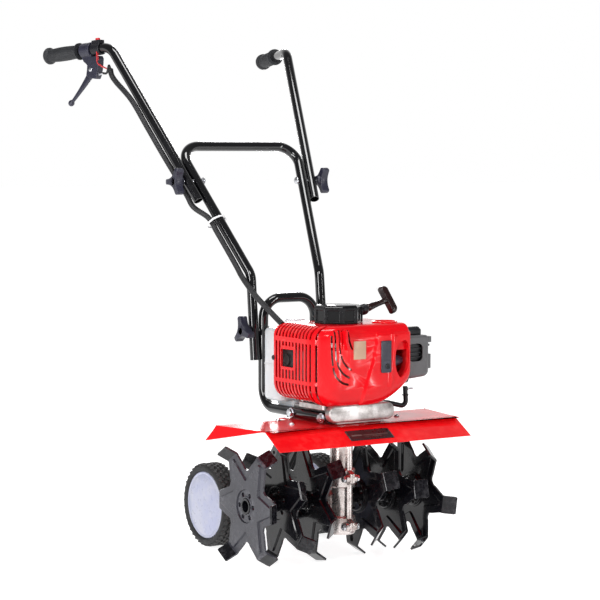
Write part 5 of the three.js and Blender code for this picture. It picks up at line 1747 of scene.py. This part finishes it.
COVER_CORNERS = {"front_right": 7, "rear_right": 24, "rear_left": 7, "front_left": 48}
COVER_TOP = {"height": 24, "left": 30, "front": 15, "right": 8, "rear": 16}
COVER_BOTTOM = {"height": 32, "left": 32, "front": 16, "right": 8, "rear": 18}
COVER_WALL = 1.7
COVER_SET_BACK = 4
SIDE_SLOTS = 12
SIDE_SLOT_PITCH = 11.14
SIDE_SLOT_FIRST = 39
SIDE_SLOT_WIDTH = 6.0
WINDOW = {"y": (-18.5, 22.5), "z": (366, 398.5)}
FRONT_SLOTS = (
    ((-69.6, 428), (-69.4, 400), (-68.4, 386), (-67.6, 376)),
    ((-62.8, 436), (-63, 412), (-62, 394), (-60.8, 385)),
    ((-55, 437), (-54.8, 416), (-53.9, 404), (-52.8, 397)),
    ((-46, 437), (-45.4, 418), (-44, 410), (-42.3, 404)),
    ((-36, 437), (-34, 420), (-31, 411), (-27.8, 404)),
    ((-66.8, 370), (-64.8, 361), (-60, 352), (-53.5, 346), (-46, 341.5), (-36.5, 339)),
    ((-59, 380), (-56.2, 371), (-50.6, 363), (-44, 357), (-34, 351.5)),
    ((-50.8, 391), (-47.5, 382.5), (-42, 375), (-36, 369.5), (-30, 366)),
    ((-40.6, 402.5), (-37.5, 395), (-33.5, 389), (-28.3, 382.6)),
)
FRONT_SLOT_WIDTH = 4
TEAR = (
    (66.5, 388), (68, 404), (76, 415), (87, 415), (96, 415), (97.5, 404), (97.5, 390), (97.5, 372),
    (97, 356), (79, 346), (70, 350), (64, 372),
)
CREASE = ((66, 430), (27, 429), (25.2, 414), (18.2, 381), (9.7, 358), (-0.2, 332), (-6, 305))


def smooth_step(value, low, high):
    share = min(max((value - low) / (high - low), 0), 1)
    return share * share * (3 - 2 * share)


def pod_ring(x_min, x_max, y_min, y_max, radii, spacing, corner_steps):
    """Plan outline with its own radius on each corner, started at the front right one."""
    corners = [
        (x_max, y_min, -1, 1, radii["front_right"], -90), (x_max, y_max, -1, -1, radii["rear_right"], 0),
        (x_min, y_max, 1, -1, radii["rear_left"], 90), (x_min, y_min, 1, 1, radii["front_left"], 180),
    ]
    bends = []
    for x, y, inward_x, inward_y, radius, start in corners:
        centre = (x + inward_x * radius, y + inward_y * radius)
        bends.append(arc(centre, radius, start, start + 90, corner_steps))
    points = []
    for index, bend in enumerate(bends):
        points += bend
        target = bends[(index + 1) % 4][0]
        for step in range(1, spacing[index]):
            share = step / spacing[index]
            points.append(tuple(a + (b - a) * share for a, b in zip(bend[-1], target)))
    return points


def pod(grow, straight_steps, spacing, bend_steps):
    """The cover's rounded body, or with grow below 0 the hollow inside it."""
    height = COVER["z"][1] - COVER["z"][0] + 2 * grow
    levels = []
    for step in range(bend_steps + 1):
        angle = math.pi / 2 * step / bend_steps
        levels.append((COVER_BOTTOM["height"] * (1 - math.sin(angle)), 1 - math.cos(angle), COVER_BOTTOM))
    levels.reverse()
    free = height - COVER_BOTTOM["height"] - COVER_TOP["height"]
    for step in range(1, straight_steps):
        levels.append((COVER_BOTTOM["height"] + free * step / straight_steps, 0, COVER_TOP))
    for step in range(bend_steps + 1):
        angle = math.pi / 2 * step / bend_steps
        levels.append((height - COVER_TOP["height"] * (1 - math.sin(angle)), 1 - math.cos(angle), COVER_TOP))
    rings = []
    for rise, share, edge in levels:
        radii = {}
        for corner, radius in COVER_CORNERS.items():
            end, side = corner.split("_")
            radii[corner] = max(radius + grow - share * min(edge[end], edge[side]), 3)
        ring = pod_ring(
            COVER["x"][0] - grow + share * edge["left"], COVER["x"][1] + grow - share * edge["right"],
            COVER["y"][0] - grow + share * edge["front"], COVER["y"][1] + grow - share * edge["rear"],
            radii, spacing, bend_steps + 3,
        )
        rings.append([Vector((x, y, COVER["z"][0] - grow + rise)) for x, y in ring])
    return loft(rings)


def crease_side(x, z):
    """Distance from the crease line, above zero on the raised side of it."""
    best, sign = 1e9, 1
    for (ax, az), (bx, bz) in zip(CREASE, CREASE[1:]):
        run, rise = bx - ax, bz - az
        share = min(max(((x - ax) * run + (z - az) * rise) / (run * run + rise * rise), 0), 1)
        gap = math.hypot(x - ax - share * run, z - az - share * rise)
        if gap < best:
            best = gap
            sign = 1 if run * (z - az) - rise * (x - ax) > 0 else -1
    return best * sign


def cover_skin(point):
    """Sweeps the bottom edge up at the right and down at the front, and raises the front's right panel."""
    x, y, z = point
    low = max(1 - (z - COVER["z"][0]) / (COVER["z"][1] - COVER["z"][0]), 0)
    share = max(0.0, (x - 5) / 97)
    front = smooth_step(-y, 70, 96)
    z += 42 * share ** 2.2 * low ** 1.3 - 6.5 * smooth_step(-y, 45, 95) * low ** 1.6
    raised = smooth_step(crease_side(x, z), -1.6, 1.6)
    ridge_x = 57 + 7 * smooth_step(z, 330, 425)
    ridge = math.exp(-(((x - ridge_x) / 4.5) ** 2)) * smooth_step(z, 318, 345) * (
        1 - smooth_step(z, 420, 432)
    )
    y += front * (COVER_SET_BACK * (1 - raised) - 1.5 * ridge)
    return Vector((x, y, z))


def side_slot_cutters():
    cutters = []
    left = COVER["x"][0]
    for slot in range(SIDE_SLOTS):
        y = SIDE_SLOT_FIRST - slot * SIDE_SLOT_PITCH
        forward = smooth_step(-y, 40, 90)
        half = SIDE_SLOT_WIDTH / 2 * (1 - 0.36 * forward)
        beside = y > WINDOW["y"][1] + 3 or y < WINDOW["y"][0] - 3
        spans = [(344, 413)] if beside else [(344, WINDOW["z"][0] - 5), (WINDOW["z"][1] + 6, 413)]
        for low, high in spans:
            cutters.append(plate("x", rounded(y - half, y + half, low, high, 1.8, 3), -110, -80))
        reach = 19 + 12 * forward
        for near, bend, far in ((421.5, 434, 446), (337, 324, 300)):
            cutters.append(plate("y", [
                (left - 6, near), (left + 4 + 6 * forward, near), (left + reach, bend), (left + reach, far),
                (left - 6, far),
            ], y - half, y + half))
    cutters.append(window_plate(-110, -84))
    return cutters


def stroke(line, width):
    """A centre line in a plane, smoothed and widened into a closed outline with round ends."""
    smooth = [point.to_2d() for point in smooth_line([Vector((u, v, 0)) for u, v in line], 4)]
    left, right = [], []
    for index, point in enumerate(smooth):
        heading = (smooth[min(index + 1, len(smooth) - 1)] - smooth[max(index - 1, 0)]).normalized()
        across = Vector((-heading.y, heading.x)) * width / 2
        left.append(tuple(point + across))
        right.append(tuple(point - across))
    ends = []
    for tip, before in ((smooth[-1], smooth[-2]), (smooth[0], smooth[1])):
        heading = math.degrees(math.atan2(tip.y - before.y, tip.x - before.x))
        ends.append(arc(tuple(tip), width / 2, heading + 90, heading - 90, 6)[1:-1])
    return left + ends[0] + right[::-1] + ends[1]


def front_slot_cutters():
    return [plate("y", stroke(line, FRONT_SLOT_WIDTH), -116, -90) for line in FRONT_SLOTS]


def bezier(points):
    """Points along one cubic Bezier curve, without its last point."""
    a, b, c, d = (Vector(point) for point in points)
    steps = 10
    line = []
    for step in range(steps):
        t = step / steps
        point = a * (1 - t) ** 3 + b * 3 * t * (1 - t) ** 2 + c * 3 * t * t * (1 - t) + d * t ** 3
        line.append(tuple(point))
    return line


def tear_outline():
    """The opening in the cover's front, in four curves that each start where the last one ends."""
    outline = []
    for index in range(0, len(TEAR), 3):
        outline += bezier([TEAR[(index + step) % len(TEAR)] for step in range(4)])
    return outline


def scaled_outline(outline, grow):
    centre_u = sum(u for u, _ in outline) / len(outline)
    centre_v = sum(v for _, v in outline) / len(outline)
    points = []
    for u, v in outline:
        size = math.hypot(u - centre_u, v - centre_v)
        points.append((u + (u - centre_u) / size * grow, v + (v - centre_v) / size * grow))
    return points


def cover_hollow(depth):
    """The cover's body drawn in by a depth, with fewer points than its outer skin."""
    return reshape(pod(-depth, 12, (4, 30, 4, 30), 6), cover_skin)


def window_plate(low, high, steps=3):
    return plate("x", rounded(*WINDOW["y"], *WINDOW["z"], 1.5, steps), low, high)


def opening_cutter():
    return plate("z", rounded(-66, 66, -88, 38, 18), 280, 326)


def make_cover():
    outer = reshape(pod(0, 32, (48, 64, 40, 64), 9), cover_skin)
    inner = cover_hollow(COVER_WALL)
    hump = lathe("z", [
        (0, 436), (24, 436), (24, 446.8), (23, 448.8), (21, 449.4), (19.4, 448.6), (18.6, 446.6), (0, 446.6),
    ], (70, -70, 0), 64)
    outline = tear_outline()
    collar = cut(
        plate("y", scaled_outline(outline, 2), -106, -88),
        plate("y", scaled_outline(outline, -0.1), -120, -80),
    )
    shelf = plate("y", [(66, 397), (99, 397), (98, 408), (91, 415), (82, 415), (73, 408)], -101, -98)
    body = cut(
        joined(outer, hump), inner, opening_cutter(),
        rod("z", 36.5, 430, 470, (STARTER_X, COLUMN_Y, 0), 72), rod("x", 16.5, 88, 112, INTAKE),
    )
    body = cut(body, plate("y", outline, -120, -80))
    body = joined(body, collar, shelf)
    body = cut_apart(body, side_slot_cutters())
    body = cut_apart(body, front_slot_cutters())
    piece(body, "cover_shell", "frame", "red_cover", ["engine_cover"], bevel=0)
    # A near-black sheet just inside the cover's wall: painted shade seen through the slots and openings.
    painted_shade = cut(
        cover_hollow(COVER_WALL + 1.4), cover_hollow(COVER_WALL + 2.6), opening_cutter(),
        block(48, 120, -130, 80, 280, 470), rod("z", 36.5, 400, 470, (STARTER_X, COLUMN_Y, 0), 48),
    )
    painted_shade = cut(painted_shade, window_plate(-110, -84))
    piece(painted_shade, "cover_painted_shade", "frame", "painted_shade", bevel=0)
    make_cover_details()


def make_cover_details():
    frame_ring = cut(
        plate(
            "x",
            rounded(
                WINDOW["y"][0] - 3.5, WINDOW["y"][1] + 3.5, WINDOW["z"][0] - 3.5, WINDOW["z"][1] + 3.5, 3,
                6,
            ),
            -99.2, -95.4,
        ),
        window_plate(-104, -90, 6),
    )
    piece(frame_ring, "exhaust_frame", "frame", "red_cover", bevel=0.6)
    front = COVER["y"][0]
    plaque = stepped(
        "y", ((front + 6.0, 0), (front + 3.3, 0), (front + 2.9, 0.5)),
        lambda inset: rounded(-24.5 + inset, 2.5 - inset, 384 + inset, 417.5 - inset, 1.4, 5),
    )
    piece(plaque, "cover_plaque", "frame", "plaque", bevel=0)
    side_plate = stepped(
        "y", ((front - 0.3, 0), (front - 1.9, 0), (front - 2.6, 0.5), (front - 2.8, 1.2)),
        lambda inset: rounded(33.5 + inset, 56 - inset, 357 + inset, 416 - inset, 2.4, 6),
    )
    side_plate = cut(
        side_plate, rod("y", 5.4, front - 6, front - 1.4, (47, 0, 369), 48),
        plate("y", rounded(37, 52.5, 379, 412, 2, 5), front - 4, front - 2.2),
    )
    piece(side_plate, "cover_badge_plate", "frame", "blue_plastic", ["cover_plate"], 0.25)
    star = []
    for step in range(12):
        angle = math.pi * step / 6
        radius = 2.3 if step % 2 == 0 else 1.3
        star.append((47 + radius * math.cos(angle), 369 + radius * math.sin(angle)))
    screw = cut(
        rod("y", 4.4, front - 3.6, front - 1.5, (47, 0, 369), 40, 0.7),
        plate("y", star, front - 5, front - 2.2),
    )
    piece(screw, "cover_screw_front", "frame", "black_plastic", bevel=0)
    side_screw = lathe(
        "x", [(0, -102), (2.6, -101.6), (4.4, -100.2), (4.9, -98), (4.9, -92), (0, -92)], (0, 49, 380),
        40,
    )
    piece(side_screw, "cover_screw_side", "frame", "black_plastic", bevel=0)


# ---------------------------------------------------------------- starter


def octagon(radius):
    points = []
    for corner in range(8):
        angle = math.pi / 4 * (corner + 0.5)
        points.append((STARTER_X + radius * math.cos(angle), COLUMN_Y + radius * math.sin(angle)))
    return points


def make_starter():
    floor = COVER["z"][1] + 0.3
    dome = stepped(
        "z", ((floor, 0), (STARTER_TOP - 4, 0), (STARTER_TOP - 0.4, 3.4), (STARTER_TOP, 4.2)),
        lambda inset: octagon(STARTER_RADIUS - inset),
    )
    guide = stepped(
        "z", ((floor, 0), (473, 0), (475.4, 1), (476, 2.6)),
        lambda inset: rounded(20, 42 - inset, COLUMN_Y - 11 + inset, COLUMN_Y + 11 - inset, 4, 6),
    )
    body = joined(dome, guide)
    recesses = []
    apothem = STARTER_RADIUS * math.cos(math.pi / 8)
    for facet in range(1, 8):
        box = block(apothem - 2.4, apothem + 6, -11, 11, floor + 4, STARTER_TOP - 9)
        turn = Matrix.Translation((STARTER_X, COLUMN_Y, 0)) @ Matrix.Rotation(math.pi / 4 * facet, 4, "Z")
        recesses.append(moved(box, turn))
    body = cut_apart(body, recesses)
    rope_hole = rod("x", 3, -40, 10, segments=32)
    tilt = Matrix.Translation(ROPE_EXIT) @ Matrix.Rotation(-ROPE_ANGLE, 4, "Y")
    body = cut(
        body, rod("z", 35, floor - 5, STARTER_TOP - 3.2, (STARTER_X, COLUMN_Y, 0), 64),
        moved(rope_hole, tilt),
    )
    piece(body, "starter_dome", "frame", "starter_plastic", ["starter_housing"], bevel=0.8, segments=3)
    boot_profile = [
        (3, -14), (8.4, -14), (9.4, -12.6), (9.4, -10), (8.4, -9), (9.8, -7.6), (10.5, -4), (10.4, -0.5),
        (9.5, 2.4), (7.8, 4.4), (3, 4.6),
    ]
    boot = lathe("x", boot_profile, segments=48)
    piece(moved(boot, tilt), "rope_boot", "frame", "black_plastic", bevel=0)
    make_pull(tilt)


def make_pull(tilt):
    """T-shaped pull grip with a slim neck, and the rope it is tied to."""
    neck = lathe(
        "x",
        [
            (2.1, 5), (6.6, 5), (7.3, 6.2), (7.4, 10), (6.8, 15), (6.1, 22), (5.4, 32), (5.2, 42),
            (5.8, 49), (7.8, 54.5), (9.4, 58), (2.1, 58),
        ],
        segments=48,
    )
    sections = []
    for x, inset in ((51.4, 1.6), (52.4, 0.5), (54, 0), (60.4, 0), (62.6, 0.6), (64, 2.0), (64.6, 3.8)):
        ring = []
        for u, v in rounded(
            -28 + inset, 28 - inset, -8.6 + inset * 0.7, 8.6 - inset * 0.7, max(8.5 - inset, 1.5), 10,
        ):
            waist = 1 - 0.1 * math.exp(-((u / 9) ** 2))
            bow = 3.4 * (u / 26) ** 2
            ring.append(Vector((x - bow, v * waist, u)))
        sections.append(ring)
    bar = moved(loft(sections), Matrix.Rotation(GRIP_TWIST, 4, "X"))
    body = cut(joined(neck, bar), rod("x", 2.1, -2, 24, segments=24))
    piece(moved(body, tilt), "pull_grip", "recoil", "grip_brown", ["starter_grip"], bevel=0.5)
    strands = []
    for strand in range(3):
        line = []
        for step in range(121):
            angle = 2 * math.pi * (step / 13 + strand / 3)
            line.append(Vector((-68 + 91 * step / 120, 0.75 * math.cos(angle), 0.75 * math.sin(angle))))
        strands.append(tube(line, 1.02, 10))
    piece(moved(merged(*strands), tilt), "pull_cord", "recoil", "cord", ["starter_rope"], bevel=0)


# ---------------------------------------------------------------- intake and fuel


def make_filter():
    body = pillow(FILTER, 9, 6, 12, (6, 8, 6), 6)

    def tapered(p):
        lean = max(0.0, (p.x - 120) / 39)
        return Vector((p.x, p.y, p.z + 3.5 * lean * max(0.0, (372 - p.z) / 33)))

    body = reshape(body, tapered)
    ribs = [
        plate(
            "z",
            rounded(
                FILTER["x"][1] - 6, FILTER["x"][1] + reach, FILTER["y"][0] + 5, FILTER["y"][1] - 8, 3,
            ),
            low, high,
        )
        for low, high, reach in ((357, 384, 6.6), (399, 403, 4), (406, 417, 8))
    ]
    body = joined(body, rod("x", 14, 36.4, 112, INTAKE, 56), *ribs)
    cavity = {
        "x": (FILTER["x"][0] + 3, FILTER["x"][1] - 3), "y": (FILTER["y"][0] + 3, FILTER["y"][1] - 3),
        "z": (FILTER["z"][0] + 6, FILTER["z"][1] - 4),
    }
    intake = rounded(110.5, 142, 372, 405, 9, 10)
    body = cut(
        body, pillow(cavity, 7, 4, 9, (2, 2, 2), 4),
        plate("y", intake, FILTER["y"][0] - 2, FILTER["y"][0] + 8), rod("x", 10, 30, 115, INTAKE, 48),
    )
    piece(body, "filter_box", "frame", "grey_plastic", ["air_filter_box"], bevel=0.8, segments=3)
    louvres = [plate("y", intake, FILTER["y"][0] + 8.4, FILTER["y"][0] + 14)]
    for bar in range(3):
        z = 379 + bar * 8
        louvres.append(block(111, 141.4, FILTER["y"][0] + 4.2, FILTER["y"][0] + 8.6, z, z + 1.6))
    piece(merged(*louvres), "filter_grille", "frame", "black_plastic", bevel=0.3)
    backing = plate("x", rounded(-97, -2, 333, 423, 9, 8), 102.6, 106.6)
    backing = cut(backing, rod("x", 14.5, 95, 112, INTAKE, 48))
    piece(backing, "filter_backing", "frame", "black_plastic", bevel=0.8)
    choke = moved(
        reshape(
            pillow({"x": (-10, 34), "y": (-9, 9), "z": (0, 15)}, 8, 6, 1.5, (10, 4, 2), 6),
            lambda p: Vector(
                (
                    p.x, p.y * (1 - 0.2 * smooth_step(p.x, 5, 34)),
                    p.z * (1 - 0.16 * smooth_step(p.x, 0, 34)),
                )
            ),
        ),
        Matrix.Translation((118, -70, FILTER["z"][1] + 0.3)),
    )
    ridges = [
        rod("x", 0.9, 112, 146, (0, -70 + 4.4 * step, FILTER["z"][1] + 14.6 - 0.7 * abs(step)), 16)
        for step in (-1, 0, 1)
    ]
    piece(joined(choke, *ridges), "choke_paddle", "choke", "black_plastic", ["choke_lever"], bevel=0.4)


def make_tank():
    upper = pillow({"x": TANK["x"], "y": TANK["y"], "z": (293, 430)}, 18, 9, 10, (10, 4, 8), 7)
    foot = pillow({"x": (-46, 46), "y": (62, 124), "z": (281, 320)}, 10, 3, 4, (6, 4, 2), 5)
    neck = rod("z", 15, 424, 438, CAP_AT, 56, 0.6)
    body = joined(upper, foot, neck)
    cavity = pillow({"x": (-72, 72), "y": (63, 127), "z": (296, 427)}, 15, 7, 8, (2, 2, 2), 5)
    body = cut(body, cavity, rod("z", 11, 420, 450, CAP_AT, 48))
    welt = cut(
        plate("z", rounded(-75.9, 75.9, 59.1, 130.9, 18.6, 10), 361, 363.4),
        plate("z", rounded(-74, 74, 61, 129, 17, 10), 359, 366),
    )
    body = merged(body, welt)
    piece(body, "tank_shell", "frame", "tank", ["fuel_tank"], bevel=0.5)
    outline = []
    for step in range(72):
        angle = 2 * math.pi * step / 72
        radius = 20 - 1.0 * (step % 3 == 0)
        outline.append((CAP_AT[0] + radius * math.cos(angle), CAP_AT[1] + radius * math.sin(angle)))
    cap = joined(
        plate("z", outline, 430.4, 444),
        lathe("z", [(0, 442), (18.4, 442), (18.6, 445.4), (16.6, 447.3), (0, 447.3)], CAP_AT, 72),
    )
    cap = cut(cap, rod("z", 15.4, 425, 438.8, CAP_AT, 56))
    piece(cap, "tank_cap", "cap", "white", ["fuel_cap"], bevel=0.3)


# ---------------------------------------------------------------- wheels

TREAD_ROWS = ((-13.4, 10.5), (-4.6, 8), (4.6, 8), (13.4, 10.5))


def make_carriage():
    """Folding wheel bracket: two arms, a web between them, the pivot and the axle."""
    start = Vector((WHEEL_Y, WHEEL_RADIUS))
    end = CARRIER_PIVOT
    heading = math.degrees(math.atan2(end.y - start.y, end.x - start.x))
    arm = arc(start, 12, heading + 90, heading + 270, 14) + arc(end, 9.5, heading - 90, heading + 90, 12)
    holes = []
    for share in (0.3, 0.55, 0.8):
        at = start.lerp(end, share)
        holes.append(arc(at, 3.2, 0, 360, 20)[:-1])
    arms = []
    for low, high in ((25, 30), (-30, -25)):
        side = plate("x", arm, low, high)
        arms.append(cut_apart(side, [plate("x", hole, low - 2, high + 2) for hole in holes]))
    web = block(-25.2, 25.2, -35, 35, -2, 2)
    centre = Vector((0, *end.lerp(start, 0.55)))
    lean = math.atan2(start.y - end.y, start.x - end.x)
    web = moved(web, Matrix.Translation(centre) @ Matrix.Rotation(lean, 4, "X"))
    axle_at = (0, WHEEL_Y, WHEEL_RADIUS)
    body = joined(
        arms[0], arms[1], web, rod("x", 5, -32, 32, (0, *end), 40, 0.8),
        rod("x", 9, -WHEEL_X + TYRE_WIDTH / 2 - 2, WHEEL_X - TYRE_WIDTH / 2 + 2, axle_at, 48, 0.6),
        rod("x", 6, -WHEEL_X - 12, WHEEL_X + 12, axle_at, 40, 0.8),
    )
    piece(body, "wheel_carrier", "carrier", "gloss_black", ["wheel_bracket"], bevel=0.6)


def tread_block(width, length, depth):
    """One tread lug, a diamond that narrows towards its top."""
    rings = []
    for height, scale in ((0, 1), (depth * 0.75, 0.94), (depth, 0.8)):
        ring = []
        for u, v in ((-0.5, 0), (0, -0.5), (0.5, 0), (0, 0.5)):
            ring.append(Vector((u * width * scale, v * length * scale, height)))
        rings.append(ring)
    return loft(rings)


def make_tyre(side, sign):
    half = TYRE_WIDTH / 2
    crown = WHEEL_RADIUS - 3.4
    body = lathe(
        "x",
        [
            (RIM_RADIUS, -half + 4), (RIM_RADIUS + 2.5, -half + 1), (RIM_RADIUS + 6, -half),
            (RIM_RADIUS + 9, -half + 0.6), (crown - 1.5, -half + 3.5), (crown, -half + 7),
            (crown, half - 7), (crown - 1.5, half - 3.5), (RIM_RADIUS + 9, half - 0.6),
            (RIM_RADIUS + 6, half), (RIM_RADIUS + 2.5, half - 1), (RIM_RADIUS, half - 4),
        ],
        segments=120,
    )
    lugs = []
    count = 40
    for row, (x, width) in enumerate(TREAD_ROWS):
        for index in range(count):
            angle = 2 * math.pi * (index + 0.5 * (row % 2)) / count
            lug = tread_block(width, 11.2, 3.3)
            tilt = 0.16 * (x / TREAD_ROWS[-1][0]) if row in (0, 3) else 0
            lug = moved(
                lug,
                Matrix.Rotation(angle, 4, "X") @ Matrix.Translation((x, 0, crown - 0.3)) @ Matrix.Rotation(
                    tilt, 4, "Y",
                ),
            )
            lugs.append(lug)
    for edge in (-1, 1):
        for index in range(count):
            angle = 2 * math.pi * (index + 0.25) / count
            lug = block(-2.2, 2.2, -2.6, 2.6, 0, 7.5)
            place = (
                Matrix.Rotation(angle, 4, "X") @ Matrix.Translation((edge * (half - 3.4), 0, crown - 8))
                @ Matrix.Rotation(edge * -0.42, 4, "Y")
            )
            lugs.append(moved(lug, place))
    body = merged(body, *lugs)
    place = Matrix.Translation((sign * WHEEL_X, WHEEL_Y, WHEEL_RADIUS))
    piece(
        moved(body, place), f"tyre_{side}_tread", f"wheel_{side}", "tyre", [f"tyre_{side}"], bevel=0.35,
        segments=1,
    )


def make_rim(side, sign):
    half = TYRE_WIDTH / 2
    outer = RIM_RADIUS - 0.3
    body = lathe(
        "x",
        [
            (0, half + 0.6), (14, half + 0.5), (30, half - 0.1), (44, half - 1.3), (outer - 8, half - 3),
            (outer - 5.4, half - 3.8), (outer - 4.4, half - 3.4), (outer - 2, half - 3.2),
            (outer - 0.6, half - 4), (outer, half - 5.4), (outer, -half + 5.6), (outer - 3, -half + 5.6),
            (outer - 3, half - 12), (16, half - 8), (14, -half + 3.4), (6.3, -half + 3.4),
            (6.3, half - 7.5), (0, half - 7.5),
        ],
        segments=144,
    )
    place = Matrix.Translation((sign * WHEEL_X, WHEEL_Y, WHEEL_RADIUS))
    piece(
        moved(mirrored(body, sign), place), f"wheel_cap_{side}", f"wheel_{side}", "cap",
        [f"wheel_rim_{side}"], bevel=0,
    )


# ---------------------------------------------------------------- stage, light and camera

FLOOR_HALF = 40
FLOOR_GLOW = 0.84


def make_stage():
    material = bpy.data.materials.new("studio floor")
    material.use_nodes = True
    shader = material.node_tree.nodes["Principled BSDF"]
    shader.inputs["Base Color"].default_value = (0.55, 0.55, 0.55, 1)
    shader.inputs["Roughness"].default_value = 0.9
    shader.inputs["Specular IOR Level"].default_value = 0.1
    shader.inputs["Emission Color"].default_value = (1, 1, 1, 1)
    shader.inputs["Emission Strength"].default_value = FLOOR_GLOW
    mesh = bpy.data.meshes.new("floor")
    corners = [(x * FLOOR_HALF, y * FLOOR_HALF, 0) for x, y in ((-1, -1), (1, -1), (1, 1), (-1, 1))]
    mesh.from_pydata(corners, [], [(0, 1, 2, 3)])
    floor = bpy.data.objects.new("floor", mesh)
    floor.data.materials.append(material)
    bpy.context.scene.collection.objects.link(floor)


def add_light(name, place, target, size, power):
    data = bpy.data.lights.new(name, "AREA")
    data.shape = "RECTANGLE"
    data.size, data.size_y = size
    data.energy = power
    lamp = bpy.data.objects.new(name, data)
    lamp.location = place
    lamp.rotation_mode = "QUATERNION"
    lamp.rotation_quaternion = (Vector(target) - Vector(place)).to_track_quat("-Z", "Y")
    bpy.context.scene.collection.objects.link(lamp)


CAMERA_TARGET = Vector((0, AXLE.y + 0.110, 0.480))
CAMERA_AZIMUTH = math.radians(-33.204)
CAMERA_ELEVATION = math.radians(3.897)
CAMERA_DISTANCE = 4.107
CAMERA_LENS = 129.1


def make_camera():
    data = bpy.data.cameras.new("camera")
    data.lens = CAMERA_LENS
    data.sensor_width = 36
    data.clip_end = 200
    camera = bpy.data.objects.new("camera", data)
    back = Vector(
        (
            math.sin(CAMERA_AZIMUTH) * math.cos(CAMERA_ELEVATION),
            -math.cos(CAMERA_AZIMUTH) * math.cos(CAMERA_ELEVATION), math.sin(CAMERA_ELEVATION),
        )
    )
    camera.location = CAMERA_TARGET + back * CAMERA_DISTANCE
    camera.rotation_mode = "QUATERNION"
    camera.rotation_quaternion = (-back).to_track_quat("-Z", "Y")
    bpy.context.scene.collection.objects.link(camera)
    bpy.context.scene.camera = camera


WALL_LIGHT = 1.0
FRONT_LIGHT = 0.18
WALL_EDGE = (0.25, 0.9)
LIGHT_TARGET = (0, -0.12, 0.42)


def make_world():
    """Bright white studio wall behind the machine that falls off to dimmer sides, ceiling and front."""
    world = bpy.data.worlds.new("studio")
    bpy.context.scene.world = world
    world.use_nodes = True
    tree = world.node_tree
    direction = tree.nodes.new("ShaderNodeTexCoord").outputs["Generated"]
    facing = tree.nodes.new("ShaderNodeVectorMath")
    facing.operation = "DOT_PRODUCT"
    facing.inputs[1].default_value = (-math.sin(CAMERA_AZIMUTH), math.cos(CAMERA_AZIMUTH), 0)
    tree.links.new(direction, facing.inputs[0])
    fall = tree.nodes.new("ShaderNodeMapRange")
    fall.interpolation_type = "SMOOTHSTEP"
    fall.inputs["From Min"].default_value, fall.inputs["From Max"].default_value = WALL_EDGE
    fall.inputs["To Min"].default_value = FRONT_LIGHT
    fall.inputs["To Max"].default_value = WALL_LIGHT
    tree.links.new(facing.outputs["Value"], fall.inputs["Value"])
    tree.nodes["Background"].inputs["Color"].default_value = (1, 1, 1, 1)
    tree.links.new(fall.outputs["Result"], tree.nodes["Background"].inputs["Strength"])


def make_light():
    make_world()
    add_light("left panel", (-2.75, -1.15, 0.95), LIGHT_TARGET, (0.5, 2.2), 62)
    add_light("right strip", (1.35, -3.1, 0.9), LIGHT_TARGET, (0.1, 2.0), 19)
    add_light("key box", (-1.9, -2.9, 2.6), LIGHT_TARGET, (0.9, 0.7), 34)
    add_light("top box", (-0.2, -0.5, 2.8), LIGHT_TARGET, (1.1, 0.6), 24)
    add_light("back strip", (1.6, 2.4, 1.4), LIGHT_TARGET, (0.2, 2.0), 20)
    bpy.context.scene.view_settings.view_transform = "Standard"


make_tines()
make_worm_wheel()
make_gearbox()
make_base()
make_frame()
make_guard()
make_handles()
make_throttle()
make_switch()
make_loom()
make_tie()
make_crankcase()
make_cylinder()
make_muffler()
make_flywheel()
make_cover()
make_starter()
make_filter()
make_tank()
make_carriage()
for wheel_side, wheel_sign in SIDES:
    make_tyre(wheel_side, wheel_sign)
    make_rim(wheel_side, wheel_sign)
make_stage()
make_light()
make_camera()
